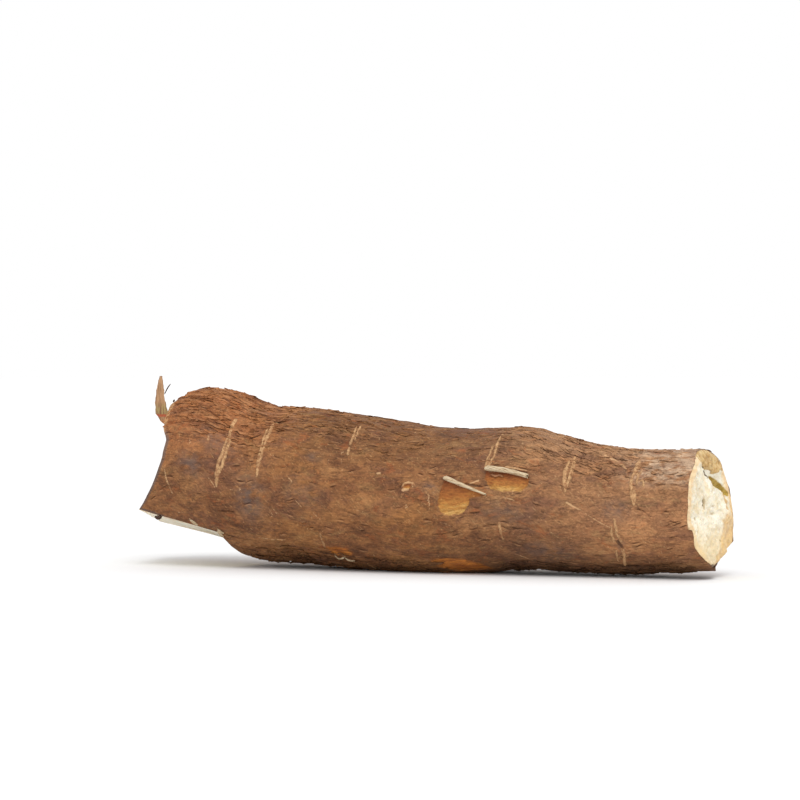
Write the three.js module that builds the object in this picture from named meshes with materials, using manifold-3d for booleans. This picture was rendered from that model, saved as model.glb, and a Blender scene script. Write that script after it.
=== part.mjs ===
// A cassava root, harvested and hacked off its plant, lying on its belly.
// Millimetres, +Z up. The root runs along X: the hacked neck end points to -X, the snapped end to +X.
// It is one grown piece, so it is one solid. Its skin is described by a station along X and an
// angle round the axis: 0 is the front (-Y), 90 the top (+Z), 180 the back (+Y), 270 the belly (-Z).

import * as THREE from 'three';
import { mergeVertices } from 'three/addons/utils/BufferGeometryUtils.js';
import Module from 'manifold-3d';

const wasm = await Module();
wasm.setup();

// ---- Driving dimensions ---------------------------------------------------------------------

// [station, radius, height of the centre, sideways offset of the centre] along the root.
const SECTIONS = [
  [-150, 27.9, 35.5, 1.5],
  [-125, 35.1, 46.5, 1.0],
  [-105, 37.0, 44.9, 0.4],
  [-85, 36.0, 39.2, -0.2],
  [-60, 36.2, 37.8, -0.6],
  [-25, 35.7, 33.8, -0.8],
  [10, 34.4, 31.3, -0.5],
  [45, 32.4, 33.8, 0.1],
  [70, 29.8, 30.8, 0.5],
  [95, 27.7, 29.1, 0.6],
  [120, 26.8, 29.9, 0.4],
  [145, 26.9, 31.6, 0.0],
];

const CENTRING = 9.6; // moves the whole root along X, so that the origin is under its middle

const OVAL = 0.022; // share of the radius by which a section is oval
const LOBES = 0.012; // share of the radius by which it is three-lobed

// The hacked end is a scoop: above the notch the face leans out, below it the break curves out.
const NOTCH = { station: -123.1, height: 60.1, front: -34, lean: 0.278, curve: 0.0145, skew: 0.104 };
// A second, oblique chop took off the underside of that end, until the last of it tore off.
const BEVEL = { station: -140.9, height: 27.6, front: -30.5, slope: 4.42, skew: 1.04 };
const TEAR = { station: -96.3, height: 11.6, slope: 0.43 };
const CREST_MIDDLE = 22.0; // height at which the crest between the two crosses the middle
// The snapped end is nearly square to the axis, with its lower and rear edge standing out.
const SNAP = { station: 130.9, height: 30.0, lean: 0.14, skew: 0.08 };
// The corner between its rear and its belly broke off along a slanting plane.
const CHIP = { station: 129.2, back: 19, height: 8.5, skew: 0.42, slope: 0.95 };

// A woody knob stands out at its top and rear.
const KNOB = { side: 8, height: 49.5, reach: [14, 8.5], rise: 1.5 };

const HACKED_SPAN = [-175, -60]; // stations between which each end face meets the skin
const SNAPPED_SPAN = [100, 160];

const FISSURE_DEPTH = 1.5; // of the lengthwise bark fissures where they are deepest
const FISSURE_COUNT = 20; // ridges round the girth
const FISSURE_RUN = 24; // length over which a fissure keeps its course
const FISSURE_SPREAD = 0.4; // share of the bark that its fissures take up
const FLESH_RELIEF = 0.7; // height of the torn fibres on the two end faces

const COLUMNS = 84; // facets round the girth
const ROWS = 32; // facets from end to end of the skin
const RINGS = 4; // rings of facets on each end face

const BARK_BROWN = '#8f6748';

// Corky scars that ring the root part of the way: [station, angle, station, angle, width].
const LENTICELS = [
  [-91.6, 50, -94.3, -3, 2.2],
  [-73.4, 59, -74.8, 7, 2.0],
  [-32.2, 64, -32.2, 31, 1.8],
  [36.7, 66, 36.9, 30, 1.8],
  [72.7, 52, 72.6, 16, 2.6],
  [102.1, 58, 104, 9, 2.4],
  [95.6, -4, 97, -58, 2.0],
  [43.1, -15, 43.6, -31, 1.6],
  [-106, 118, -104, 168, 2.2],
  [-62, 128, -64, 176, 2.0],
  [-20, 186, -18, 232, 2.2],
  [18, 122, 16, 158, 1.8],
  [55, 168, 57, 216, 2.4],
  [86, 116, 85, 150, 2.0],
  [110, 186, 109, 230, 2.0],
  [-66, 220, -67, 242, 1.8],
];
const LENTICEL_HEIGHT = 0.45;
const ROOTING = 1.2; // how deep what stands on the skin is sunk into it

// Skin that has peeled up and rolled back: [station, angle, station, angle] of each roll, its
// radius at both ends, and the angle by which the bare patch reaches down from it.
const ROLLS = [
  { from: [14.5, 22], to: [36.4, 4], radii: [1.25, 0.7], patch: 22 },
  { from: [34.6, 27], to: [55.4, 24], radii: [1.5, 1.2], patch: 14 },
  { from: [-44, 196], to: [-24, 188], radii: [1.3, 0.9], patch: 20 },
];
const PATCH_DEPTH = 0.6;

// A strip of skin torn loose at the hacked rim, which stands up beside the neck.
// Each row: [station, place along Y, height, width], from its foot inside the root to its tip.
const STRIP = [
  [-123.4, -17.0, 62.6, 4.8],
  [-128.6, -20.2, 68.0, 5.6],
  [-130.4, -21.4, 71.8, 6.2],
  [-131.0, -22.0, 78.0, 4.7],
  [-130.9, -21.6, 84.6, 3.1],
  [-131.0, -21.0, 88.8, 1.2],
];
const STRIP_THICKNESS = 1.1;

// Scales of cracked bark on the neck and on the shoulder of the snapped end.
const SCALES = [
  { count: 22, stations: [-126, -64], angles: [28, 150], length: 11, width: 4.6, height: 1.0 },
  { count: 12, stations: [52, 118], angles: [36, 140], length: 9, width: 3.8, height: 0.8 },
];

// The rotted split that opens below the knob.
const SPLIT = { from: [-1, 44.9], to: [19, 37.0], gape: 1.3, depth: 3.2 };

// ---- Helpers --------------------------------------------------------------------------------

const radians = (degrees) => (degrees * Math.PI) / 180;
const clamp = (x, low, high) => Math.min(Math.max(x, low), high);
const mix = (a, b, t) => a + (b - a) * t;
const bump = (x, halfWidth) => Math.exp(-((x / halfWidth) ** 2));

// A repeatable draw from 0 to 1 for a lattice point.
function draw(i, j, salt = 0) {
  const v = Math.sin(i * 127.1 + j * 311.7 + salt * 74.7) * 43758.5453;
  return v - Math.floor(v);
}

// Smooth noise from 0 to 1; v closes on itself every `period` lattice steps.
function noise(u, v, period, salt = 0) {
  const i = Math.floor(u);
  const j = Math.floor(v);
  const fade = (t) => t * t * (3 - 2 * t);
  const a = fade(u - i);
  const b = fade(v - j);
  const wrap = (k) => ((k % period) + period) % period;
  const near = mix(draw(i, wrap(j), salt), draw(i + 1, wrap(j), salt), a);
  const far = mix(draw(i, wrap(j + 1), salt), draw(i + 1, wrap(j + 1), salt), a);
  return mix(near, far, b);
}

// Column `column` of SECTIONS at a station, on a smooth curve through its rows.
function along(station, column) {
  const last = SECTIONS.length - 1;
  let k = 0;
  while (k < last - 1 && station > SECTIONS[k + 1][0]) k += 1;
  const slope = (i) => {
    const before = SECTIONS[Math.max(i - 1, 0)];
    const after = SECTIONS[Math.min(i + 1, last)];
    return (after[column] - before[column]) / (after[0] - before[0]);
  };
  const [a, b] = [SECTIONS[k], SECTIONS[k + 1]];
  const span = b[0] - a[0];
  const t = clamp((station - a[0]) / span, 0, 1);
  return (
    (1 + 2 * t) * (1 - t) ** 2 * a[column] +
    t * (1 - t) ** 2 * span * slope(k) +
    t * t * (3 - 2 * t) * b[column] +
    t * t * (t - 1) * span * slope(k + 1)
  );
}

// ---- The skin -------------------------------------------------------------------------------

// How strongly the bark is cracked: most on the neck and on the upper side of the other shoulder.
function roughness(station, angle) {
  const upper = 0.5 + 0.5 * Math.sin(radians(angle));
  const neck = clamp((-50 - station) / 40, 0, 1) * upper;
  const shoulder = bump(station - 88, 36) * upper;
  return 0.4 + 0.6 * Math.max(neck, shoulder * 0.8);
}

// Lengthwise fissures that wander between plates of bark, and the grain of the plates.
function fissures(station, angle) {
  const turn = angle / 360;
  const wander = noise(station / FISSURE_RUN, turn * 6, 6, 1) * 1.6;
  const strand = noise(station / FISSURE_RUN, turn * FISSURE_COUNT + wander, FISSURE_COUNT, 2);
  const gap = clamp(1 - Math.abs(2 * strand - 1) / FISSURE_SPREAD, 0, 1);
  const grain = noise(station / 8, turn * FISSURE_COUNT * 2, FISSURE_COUNT * 2, 3) - 0.5;
  return (0.3 + 0.6 * grain - gap) * FISSURE_DEPTH * roughness(station, angle);
}

// The bare patches under the rolls lie a skin's thickness deeper.
function patches(station, angle) {
  return ROLLS.reduce((depth, { from, to, patch }) => {
    const share = (station - from[0]) / (to[0] - from[0]);
    const top = mix(from[1], to[1], clamp(share, 0, 1));
    const turn = ((top - angle + 540) % 360) - 180;
    const inside = share > 0.02 && share < 0.98 && turn > 1 && turn < patch * (1 - 0.5 * share);
    return inside ? Math.max(depth, PATCH_DEPTH) : depth;
  }, 0);
}

// The point of the skin at a station and angle, `lift` above it. The belly is pressed flat.
function skin(station, angle, lift = 0) {
  const a = radians(angle);
  const girth =
    1 + OVAL * Math.cos(2 * a - station / 60) + LOBES * Math.cos(3 * a + 1 + station / 45);
  const radius = along(station, 1) * girth + fissures(station, angle) - patches(station, angle) + lift;
  return new THREE.Vector3(
    station,
    along(station, 3) - radius * Math.cos(a),
    Math.max(along(station, 2) + radius * Math.sin(a), 0),
  );
}

// ---- The end faces, as the station where the flesh starts or ends at a place y, z -------------

function scoop(y, z) {
  const above = z - NOTCH.height;
  const lean = above > 0 ? NOTCH.lean * above : NOTCH.curve * above * above;
  return NOTCH.station - NOTCH.skew * (y - NOTCH.front) - lean;
}

function bevel(y, z) {
  const chop = BEVEL.station - BEVEL.slope * (z - BEVEL.height) - BEVEL.skew * (y - BEVEL.front);
  return Math.min(chop, TEAR.station - TEAR.slope * (z - TEAR.height));
}

const hackedFace = (y, z) => Math.max(scoop(y, z), bevel(y, z));

function knob(y, z) {
  return KNOB.rise * bump((y - KNOB.side) / KNOB.reach[0], 1) * bump((z - KNOB.height) / KNOB.reach[1], 1);
}

function snappedFace(y, z) {
  const snap = SNAP.station + SNAP.skew * y - SNAP.lean * (z - SNAP.height) + knob(y, z);
  const chip = CHIP.station - CHIP.skew * (y - CHIP.back) + CHIP.slope * (z - CHIP.height);
  return Math.min(snap, chip);
}

// Where the skin at this angle meets an end face.
function rimStation(face, angle, low, high) {
  let [a, b] = [low, high];
  for (let step = 0; step < 40; step += 1) {
    const middle = (a + b) / 2;
    const p = skin(middle, angle);
    if (middle < face(p.y, p.z)) a = middle;
    else b = middle;
  }
  return (a + b) / 2;
}

// Torn fibres on the flesh; they fade at the rim, where the face meets the skin.
function fleshRelief(y, z, inward, salt) {
  const coarse = noise(y / 6 + 40, z / 6, 1000, salt) - 0.5;
  const fine = noise(y / 2.6 + 40, z / 2.6, 1000, salt + 1) - 0.5;
  return (coarse * 1.6 + fine) * FLESH_RELIEF * Math.min(inward * 3, 1);
}

// ---- Building the root ----------------------------------------------------------------------

// A closed body from rings of points that run from one pole to the other. Each ring runs
// clockwise as seen from the last pole.
function ringedBody(firstPole, rings, lastPole) {
  const count = rings[0].length;
  const points = [firstPole, ...rings.flat(), lastPole];
  const index = [];
  const at = (ring, k) => 1 + ring * count + (k % count);
  for (let k = 0; k < count; k += 1) {
    index.push(0, at(0, k), at(0, k + 1));
    for (let ring = 0; ring < rings.length - 1; ring += 1) {
      const [a, b] = [at(ring, k), at(ring, k + 1)];
      const [c, d] = [at(ring + 1, k), at(ring + 1, k + 1)];
      index.push(a, d, b, a, c, d);
    }
    index.push(points.length - 1, at(rings.length - 1, k + 1), at(rings.length - 1, k));
  }
  return solid(points, index);
}

const centroid = (ring) =>
  ring.reduce((sum, p) => sum.add(p), new THREE.Vector3()).divideScalar(ring.length);

function solid(points, index) {
  const vertProperties = new Float32Array(points.flatMap((p) => [p.x, p.y, p.z]));
  const mesh = new wasm.Mesh({ numProp: 3, vertProperties, triVerts: new Uint32Array(index) });
  return new wasm.Manifold(mesh);
}

// The rings of an end face, from the rim inwards to its pole.
function faceRings(rim, pole, surface) {
  const rings = [];
  for (let ring = 1; ring < RINGS; ring += 1) {
    const inward = ring / RINGS;
    rings.push(
      rim.map((p) => {
        const y = mix(p.y, pole.y, inward);
        const z = mix(p.z, pole.z, inward);
        return new THREE.Vector3(surface(y, z, inward), y, z);
      }),
    );
  }
  return rings;
}

// The angle between low and high at which the crest between scoop and bevel reaches the rim.
function crestAngle(low, high, side) {
  let [a, b] = [low, high];
  for (let step = 0; step < 40; step += 1) {
    const middle = (a + b) / 2;
    const p = skin(rimStation(hackedFace, middle, ...HACKED_SPAN), middle);
    if (side * (scoop(p.y, p.z) - bevel(p.y, p.z)) > 0) a = middle;
    else b = middle;
  }
  return (a + b) / 2;
}

// The columns' angles: two of them run into the crest's two corners, so that it stays crisp.
function columnAngles() {
  const front = crestAngle(-60, 20, -1);
  const back = crestAngle(180, 260, 1);
  const above = Math.round((COLUMNS * (back - front)) / 360);
  return Array.from({ length: COLUMNS }, (_, k) =>
    k < above
      ? mix(front, back, k / above)
      : mix(back, front + 360, (k - above) / (COLUMNS - above)),
  );
}

function rootBody() {
  const angles = columnAngles();
  const start = angles.map((angle) => rimStation(hackedFace, angle, ...HACKED_SPAN));
  const end = angles.map((angle) => rimStation(snappedFace, angle, ...SNAPPED_SPAN));
  const rows = Array.from({ length: ROWS + 1 }, (_, row) =>
    angles.map((angle, k) => skin(mix(start[k], end[k], row / ROWS), angle)),
  );
  const hacked = (y, z, inward) => hackedFace(y, z) + fleshRelief(y, z, inward, 4);
  const snapped = (y, z, inward) => snappedFace(y, z) + fleshRelief(y, z, inward, 6);
  // The pole of the hacked face lies on the crest between its scoop and its bevel.
  const hackedPole = new THREE.Vector3(0, 0, CREST_MIDDLE);
  hackedPole.x = hacked(hackedPole.y, hackedPole.z, 1);
  const snappedPole = new THREE.Vector3(0, 0, SNAP.height);
  snappedPole.x = snapped(snappedPole.y, snappedPole.z, 1);
  const hackedRings = faceRings(rows[0], hackedPole, hacked).reverse();
  const snappedRings = faceRings(rows[ROWS], snappedPole, snapped);
  return ringedBody(hackedPole, [...hackedRings, ...rows, ...snappedRings], snappedPole);
}

// ---- What stands on the skin -------------------------------------------------------------------

// A bar that follows the skin between two [station, angle] places. `section(t)` gives its cross
// section as [across, lift] pairs, clockwise as seen from its far end.
function bar(from, to, steps, section) {
  const [s0, a0] = from;
  const [s1, a1] = to;
  const rings = [];
  for (let step = 0; step <= steps; step += 1) {
    const t = step / steps;
    const [station, angle] = [mix(s0, s1, t), mix(a0, a1, t)];
    const centre = skin(station, angle);
    const next = skin(mix(s0, s1, t + 0.01), mix(a0, a1, t + 0.01));
    const out = new THREE.Vector3(0, -Math.cos(radians(angle)), Math.sin(radians(angle)));
    const run = next.sub(centre).normalize();
    const across = new THREE.Vector3().crossVectors(out, run).normalize();
    rings.push(
      section(t).map(([side, lift]) =>
        centre.clone().addScaledVector(across, side).addScaledVector(out, lift),
      ),
    );
  }
  return ringedBody(centroid(rings[0]), rings, centroid(rings[steps]));
}

function lenticel([s0, a0, s1, a1, width]) {
  const steps = Math.max(2, Math.round(Math.abs(a1 - a0) / 11));
  return bar([s0, a0], [s1, a1], steps, (t) => {
    const taper = 0.45 + 0.55 * Math.sin(Math.PI * clamp(t, 0.05, 0.95));
    const half = (width / 2) * taper;
    const crown = LENTICEL_HEIGHT * taper;
    return [
      [-half, -ROOTING],
      [-half * 0.6, crown],
      [half * 0.6, crown],
      [half, -ROOTING],
    ];
  });
}

function roll({ from, to, radii }) {
  const sides = 7;
  return bar(from, to, 5, (t) => {
    const radius = mix(radii[0], radii[1], t);
    return Array.from({ length: sides }, (_, k) => {
      const a = (-2 * Math.PI * k) / sides;
      return [radius * Math.cos(a), radius * (0.55 + Math.sin(a))];
    });
  });
}

// A pointed wedge of bark whose free edge lifts off the root.
function scale({ stations, angles, length, width, height }, k, salt) {
  const station = mix(...stations, draw(k, 1, salt));
  const angle = mix(...angles, draw(k, 2, salt));
  const size = 0.7 + 0.6 * draw(k, 3, salt);
  const run = (length / 2) * size;
  const turn = ((width / 2) * size * 57.3) / along(station, 1);
  const lift = height * (0.6 + 0.6 * draw(k, 4, salt));
  const corners = [
    skin(station - run, angle, -0.8),
    skin(station + run * 0.2, angle - turn, -0.8),
    skin(station + run, angle, -0.8),
    skin(station - run * 0.1, angle + turn, -0.8),
    skin(station + run * 0.35, angle - turn * 0.5, lift),
    skin(station - run * 0.3, angle - turn * 0.4, lift * 0.7),
    skin(station, angle + turn * 0.9, 0.1),
  ];
  return wasm.Manifold.hull(corners.map((p) => [p.x, p.y, p.z]));
}

// The torn strip, a thin blade.
function tornStrip() {
  const out = STRIP_THICKNESS / 2;
  const rings = STRIP.map(([station, y, z, width]) => {
    const corner = (side, depth) =>
      new THREE.Vector3(station + (side * width) / 2, y + depth + side * 0.1 * width, z);
    return [corner(-1, -out), corner(-1, out), corner(1, out), corner(1, -out)];
  });
  return ringedBody(centroid(rings[0]), rings, centroid(rings[rings.length - 1]));
}

// The rotted split in the snapped face, as the lens that it takes out.
function splitLens() {
  const [y0, z0] = SPLIT.from;
  const [y1, z1] = SPLIT.to;
  const length = Math.hypot(y1 - y0, z1 - z0);
  const lens = new THREE.SphereGeometry(1, 10, 6);
  lens.scale(SPLIT.depth, length / 2, SPLIT.gape);
  lens.rotateX(Math.atan2(z1 - z0, y1 - y0));
  const [y, z] = [(y0 + y1) / 2, (z0 + z1) / 2];
  lens.translate(snappedFace(y, z), y, z);
  return fromGeometry(lens);
}

function fromGeometry(geometry) {
  geometry.deleteAttribute('normal');
  geometry.deleteAttribute('uv');
  const merged = mergeVertices(geometry, 1e-4);
  const index = merged.index.array;
  const kept = [];
  for (let i = 0; i < index.length; i += 3) {
    const [a, b, c] = [index[i], index[i + 1], index[i + 2]];
    if (a !== b && b !== c && c !== a) kept.push(a, b, c);
  }
  const vertProperties = new Float32Array(merged.attributes.position.array);
  return new wasm.Manifold(new wasm.Mesh({ numProp: 3, vertProperties, triVerts: new Uint32Array(kept) }));
}

function buildRoot() {
  const additions = [
    ...LENTICELS.map(lenticel),
    ...ROLLS.map(roll),
    ...SCALES.flatMap((patch, salt) =>
      Array.from({ length: patch.count }, (_, k) => scale(patch, k, 11 + salt)),
    ),
    tornStrip(),
  ];
  let root = rootBody();
  for (const addition of additions) root = root.add(addition);
  return root.subtract(splitLens());
}

// ---- The scene graph ------------------------------------------------------------------------

function toGeometry(manifold) {
  const mesh = manifold.getMesh();
  const geometry = new THREE.BufferGeometry();
  geometry.setAttribute('position', new THREE.BufferAttribute(new Float32Array(mesh.vertProperties), 3));
  geometry.setIndex(new THREE.BufferAttribute(new Uint32Array(mesh.triVerts), 1));
  geometry.computeVertexNormals();
  return geometry;
}

const bark = new THREE.MeshStandardMaterial({ color: BARK_BROWN, roughness: 0.85, metalness: 0 });
const root = new THREE.Mesh(toGeometry(buildRoot()), bark);
root.name = 'cassava_root';
root.position.x = CENTRING;

const cassava = new THREE.Group();
cassava.name = 'cassava';
cassava.add(root);

export default cassava;
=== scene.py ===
"""The looks of a cassava root that lies on its belly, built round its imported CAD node.

A place on the root is a station along X, in millimetres, and an angle round the axis: 0 is the front
(-Y), 90 the top, 180 the back and 270 the belly. Lengths are in millimetres until a mesh is made, which
is in metres. The form's driving values are those of the CAD source, and the strip, the rolls and what
marks the snapped face are worked out more finely here.
"""

import math

import bmesh
import bpy
import numpy as np
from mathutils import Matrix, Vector

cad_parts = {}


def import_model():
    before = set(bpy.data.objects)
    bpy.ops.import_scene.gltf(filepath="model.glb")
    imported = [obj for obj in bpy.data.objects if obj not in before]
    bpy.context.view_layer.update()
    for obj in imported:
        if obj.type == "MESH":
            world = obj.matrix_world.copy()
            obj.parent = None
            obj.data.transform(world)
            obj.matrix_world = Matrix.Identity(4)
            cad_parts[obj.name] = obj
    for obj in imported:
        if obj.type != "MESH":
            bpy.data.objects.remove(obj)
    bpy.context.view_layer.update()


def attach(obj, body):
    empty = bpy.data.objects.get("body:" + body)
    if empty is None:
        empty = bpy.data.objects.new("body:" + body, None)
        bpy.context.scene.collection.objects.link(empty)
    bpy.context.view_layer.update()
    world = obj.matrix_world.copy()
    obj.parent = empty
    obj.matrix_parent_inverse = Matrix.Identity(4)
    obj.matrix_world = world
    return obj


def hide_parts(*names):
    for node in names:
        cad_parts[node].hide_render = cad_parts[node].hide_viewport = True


MM = 0.001
SEED = 4127
HALVINGS = 36  # steps of a search by halving

# ---- The root's form ----

# Station, radius, height of the centre, sideways offset of the centre.
SECTIONS = np.array([
    (-150, 27.9, 35.5, 1.5),
    (-125, 35.1, 46.5, 1.0),
    (-105, 37.0, 44.9, 0.4),
    (-85, 36.0, 39.2, -0.2),
    (-60, 36.2, 37.8, -0.6),
    (-25, 35.7, 33.8, -0.8),
    (10, 34.4, 31.3, -0.5),
    (45, 32.4, 33.8, 0.1),
    (70, 29.8, 30.8, 0.5),
    (95, 27.7, 29.1, 0.6),
    (120, 26.8, 29.9, 0.4),
    (145, 26.9, 31.6, 0.0),
])
RADIUS, HEIGHT, SIDE = 1, 2, 3  # columns of SECTIONS
CENTRING = 9.6  # moves the root along X, so that the origin is under its middle
OVAL = 0.022  # share of the radius by which a section is oval
LOBES = 0.012  # share of the radius by which it is three-lobed

# The hacked end: a scoop, and an oblique chop under it whose last stretch tore off.
NOTCH = {"station": -123.1, "height": 60.1, "front": -34, "lean": 0.278, "curve": 0.0145, "skew": 0.104}
BEVEL = {"station": -140.9, "height": 27.6, "front": -30.5, "slope": 4.42, "skew": 1.04}
TEAR = {"station": -96.3, "height": 11.6, "slope": 0.43}
CREST_MIDDLE = 22.0
# The snapped end, and the corner between its rear and its belly that broke off.
SNAP = {"station": 130.9, "height": 30.0, "lean": 0.14, "skew": 0.08}
CHIP = {"station": 129.2, "back": 19, "height": 8.5, "skew": 0.42, "slope": 0.95}
KNOB = {"side": 8, "height": 49.5, "reach": (14, 8.5), "rise": 1.5}
HACKED_SPAN = (-175, -60)
SNAPPED_SPAN = (100, 160)
SKIN_THICKNESS = 0.7  # at its two ends
RAGGEDNESS = 0.6  # of those ends
HACKED_TURN, SNAPPED_TURN = (2.5, 0.1), (-0.1, -5.5)  # steps along X where the skin turns in at its ends
POLE_HEIGHT = 35.0  # of the points that close the skin's pieces
POLE_INSIDE = 8  # how far these lie inside a piece
HACKED_POLE, SNAPPED_POLE = 60, 40  # how deep they lie in the body at its own two ends
SNAPPED_SUNKEN = 3.4  # how far the flesh stands behind the skin at the foot of the snapped end
FLESH_REACH = 35.0  # how far a plug of flesh reaches into the body
FLESH_DEPTH = 25.0  # the depth from the rim that counts as the middle of a face

# The torn strip beside the neck: station, place along Y, height, width, from foot to tip.
STRIP = np.array([
    (-123.4, -17.0, 62.6, 4.8),
    (-128.6, -20.2, 68.0, 5.6),
    (-130.4, -21.4, 71.8, 6.2),
    (-131.0, -22.0, 78.0, 4.5),
    (-130.9, -21.6, 84.6, 2.8),
    (-131.0, -21.0, 88.8, 0.2),
])
STRIP_THICKNESS = 1.1

# Peeled rolls: station and angle of both ends, radius at both ends.
ROLLS = {
    "roll_front_low": {"from": (17.3, 21), "to": (36.8, 6), "radii": (1.15, 0.35)},
    "roll_front_high": {"from": (36.2, 26.3), "to": (55.4, 22.5), "radii": (1.35, 1.0)},
    "roll_back": {"from": (-44, 196), "to": (-24, 188), "radii": (1.3, 0.9)},
}
ROLL_THICKNESS = 0.25
FLAKE_THICKNESS = 0.22
# Loose flakes: name, how many, span of stations, span of angles, then their length, width and lift.
FLAKES = [
    ("flakes_neck", 460, (-124, -66), (25, 160), 7.5, 1.1, 0.45),
    ("flakes_middle", 200, (-66, 40), (30, 160), 5.5, 0.8, 0.25),
    ("flakes_shoulder", 340, (40, 120), (20, 160), 6.5, 0.9, 0.35),
    ("flakes_belly_neck", 130, (-88, -36), (-104, -58), 5.0, 1.3, 0.55),
    ("flakes_belly_left", 120, (-84, 10), (-68, -48), 5.5, 1.1, 0.4),
    ("flakes_belly_right", 240, (40, 124), (-94, -58), 6.0, 1.2, 0.5),
]

# The woody flesh of the knob, the rotted split below it and the crack that leads there.
WOODY = {"side": 3.2, "height": 52.4, "reach": (14.2, 5.4), "rise": 1.4}
SPLIT = {"from": (1.2, 44.6), "to": (23.4, 36.4), "gape": 1.7, "depth": 1.8}
SEAM = {"from": (18.8, 37.6), "to": (19.0, 29.6), "gape": 1.9, "depth": 0.9}
HAIRLINE = {"from": (-9, 51.4), "to": (1, 44.6), "gape": 0.4, "depth": 1.0}
# Pits in the snapped face: y, z, half width, half height, depth.
PITS = [
    (-7.0, 33.4, 1.2, 2.0, 3.4), (-7.4, 36.4, 0.8, 0.9, 1.2), (-16.0, 27.1, 1.1, 0.9, 1.0),
    (-15.9, 21.7, 1.0, 1.4, 1.2), (7.2, 16.3, 1.2, 0.7, 1.1), (3.9, 38.2, 1.8, 0.8, 0.8),
    (2.7, 28.6, 3.4, 0.8, 0.8), (3.2, 31.9, 3.2, 0.6, 0.7), (12.0, 29.4, 1.4, 0.6, 0.7),
    (-3.0, 24.0, 1.0, 0.6, 0.7), (-11.0, 40.5, 1.2, 0.6, 0.6), (9.5, 24.5, 1.2, 0.6, 0.7),
]

# How far the skin's ends stand off the end faces: (angle, millimetres towards +X).
HACKED_EDGE = [
    (-40, 0), (-13, -0.2), (0, -0.5), (13, 0.0), (20.6, 0.7), (28, -0.2), (34, -0.7), (60, 0),
]
SNAPPED_EDGE = [
    (-128, 0), (-112, 0.8), (-80, 0.4), (-63, 1.0), (-51, -0.6), (-40, -1.4), (-31, -1.1), (-18.6, 0.2),
    (-17.2, -1.5), (-9, -1.1), (-2, -0.5), (10, 0.6), (23, 1.4), (37, 1.8), (49, 2.6), (62, 1.6),
    (75, 0.3), (90, 0),
]

# Loose fibres and slivers: points as (station, angle, lift above the skin), then width and thickness.
FIBRES = {
    "fibres_pale": [
        ([(-98.8, -43, 0.2), (-97.6, -45.5, 0.4), (-96.6, -48, 0.2)], 1.2, 0.5),
        ([(-98.2, -41, 0.2), (-96.8, -42.5, 0.5), (-95.4, -43.5, 0.2)], 0.9, 0.4),
        ([(-112.5, -40, 0.2), (-110.8, -41.6, 0.3), (-109.2, -44, 0.1)], 1.2, 0.4),
        ([(-41.3, -52, 0.3), (-39.6, -55.5, 0.5), (-37.6, -54, 0.4), (-36.3, -52.4, 0.3)], 0.9, 0.4),
        ([(-36.3, -52.4, 0.3), (-35.1, -55.5, 0.5), (-33.4, -56, 0.4), (-31.7, -55.5, 0.2)], 0.8, 0.4),
    ],
    "fibres_dark": [
        ([(-129.9, 59.4, 7.3), (-128.4, 61.5, 9.1), (-127.1, 63.1, 10.0)], 0.45, 0.35),
        ([(-127.9, 62.9, 0.7), (-127.3, 63.9, 1.5)], 0.7, 0.5),
        ([(123.4, 88, -0.2), (125.4, 91, 0.1), (127.2, 90, -0.3)], 0.5, 0.4),
        ([(126.0, 98, -0.3), (128.0, 101, 0.1), (129.4, 103, -0.4)], 0.5, 0.4),
        ([(-132.2, -39, 0.1), (-130.4, -40.5, 0.3), (-128.8, -39.4, 0.1)], 1.8, 1.2),
    ],
}

# ---- How finely it is made ----

COLUMNS = 600  # round the girth
ROWS = 480  # from end to end of the skin
BARRELS = ["bark_neck", "bark_middle", "bark_tip"]  # the skin's pieces, from -X to +X
FACE_COLUMNS = 440
FACE_RINGS = 72

# ---- Marks on the skin ----

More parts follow.
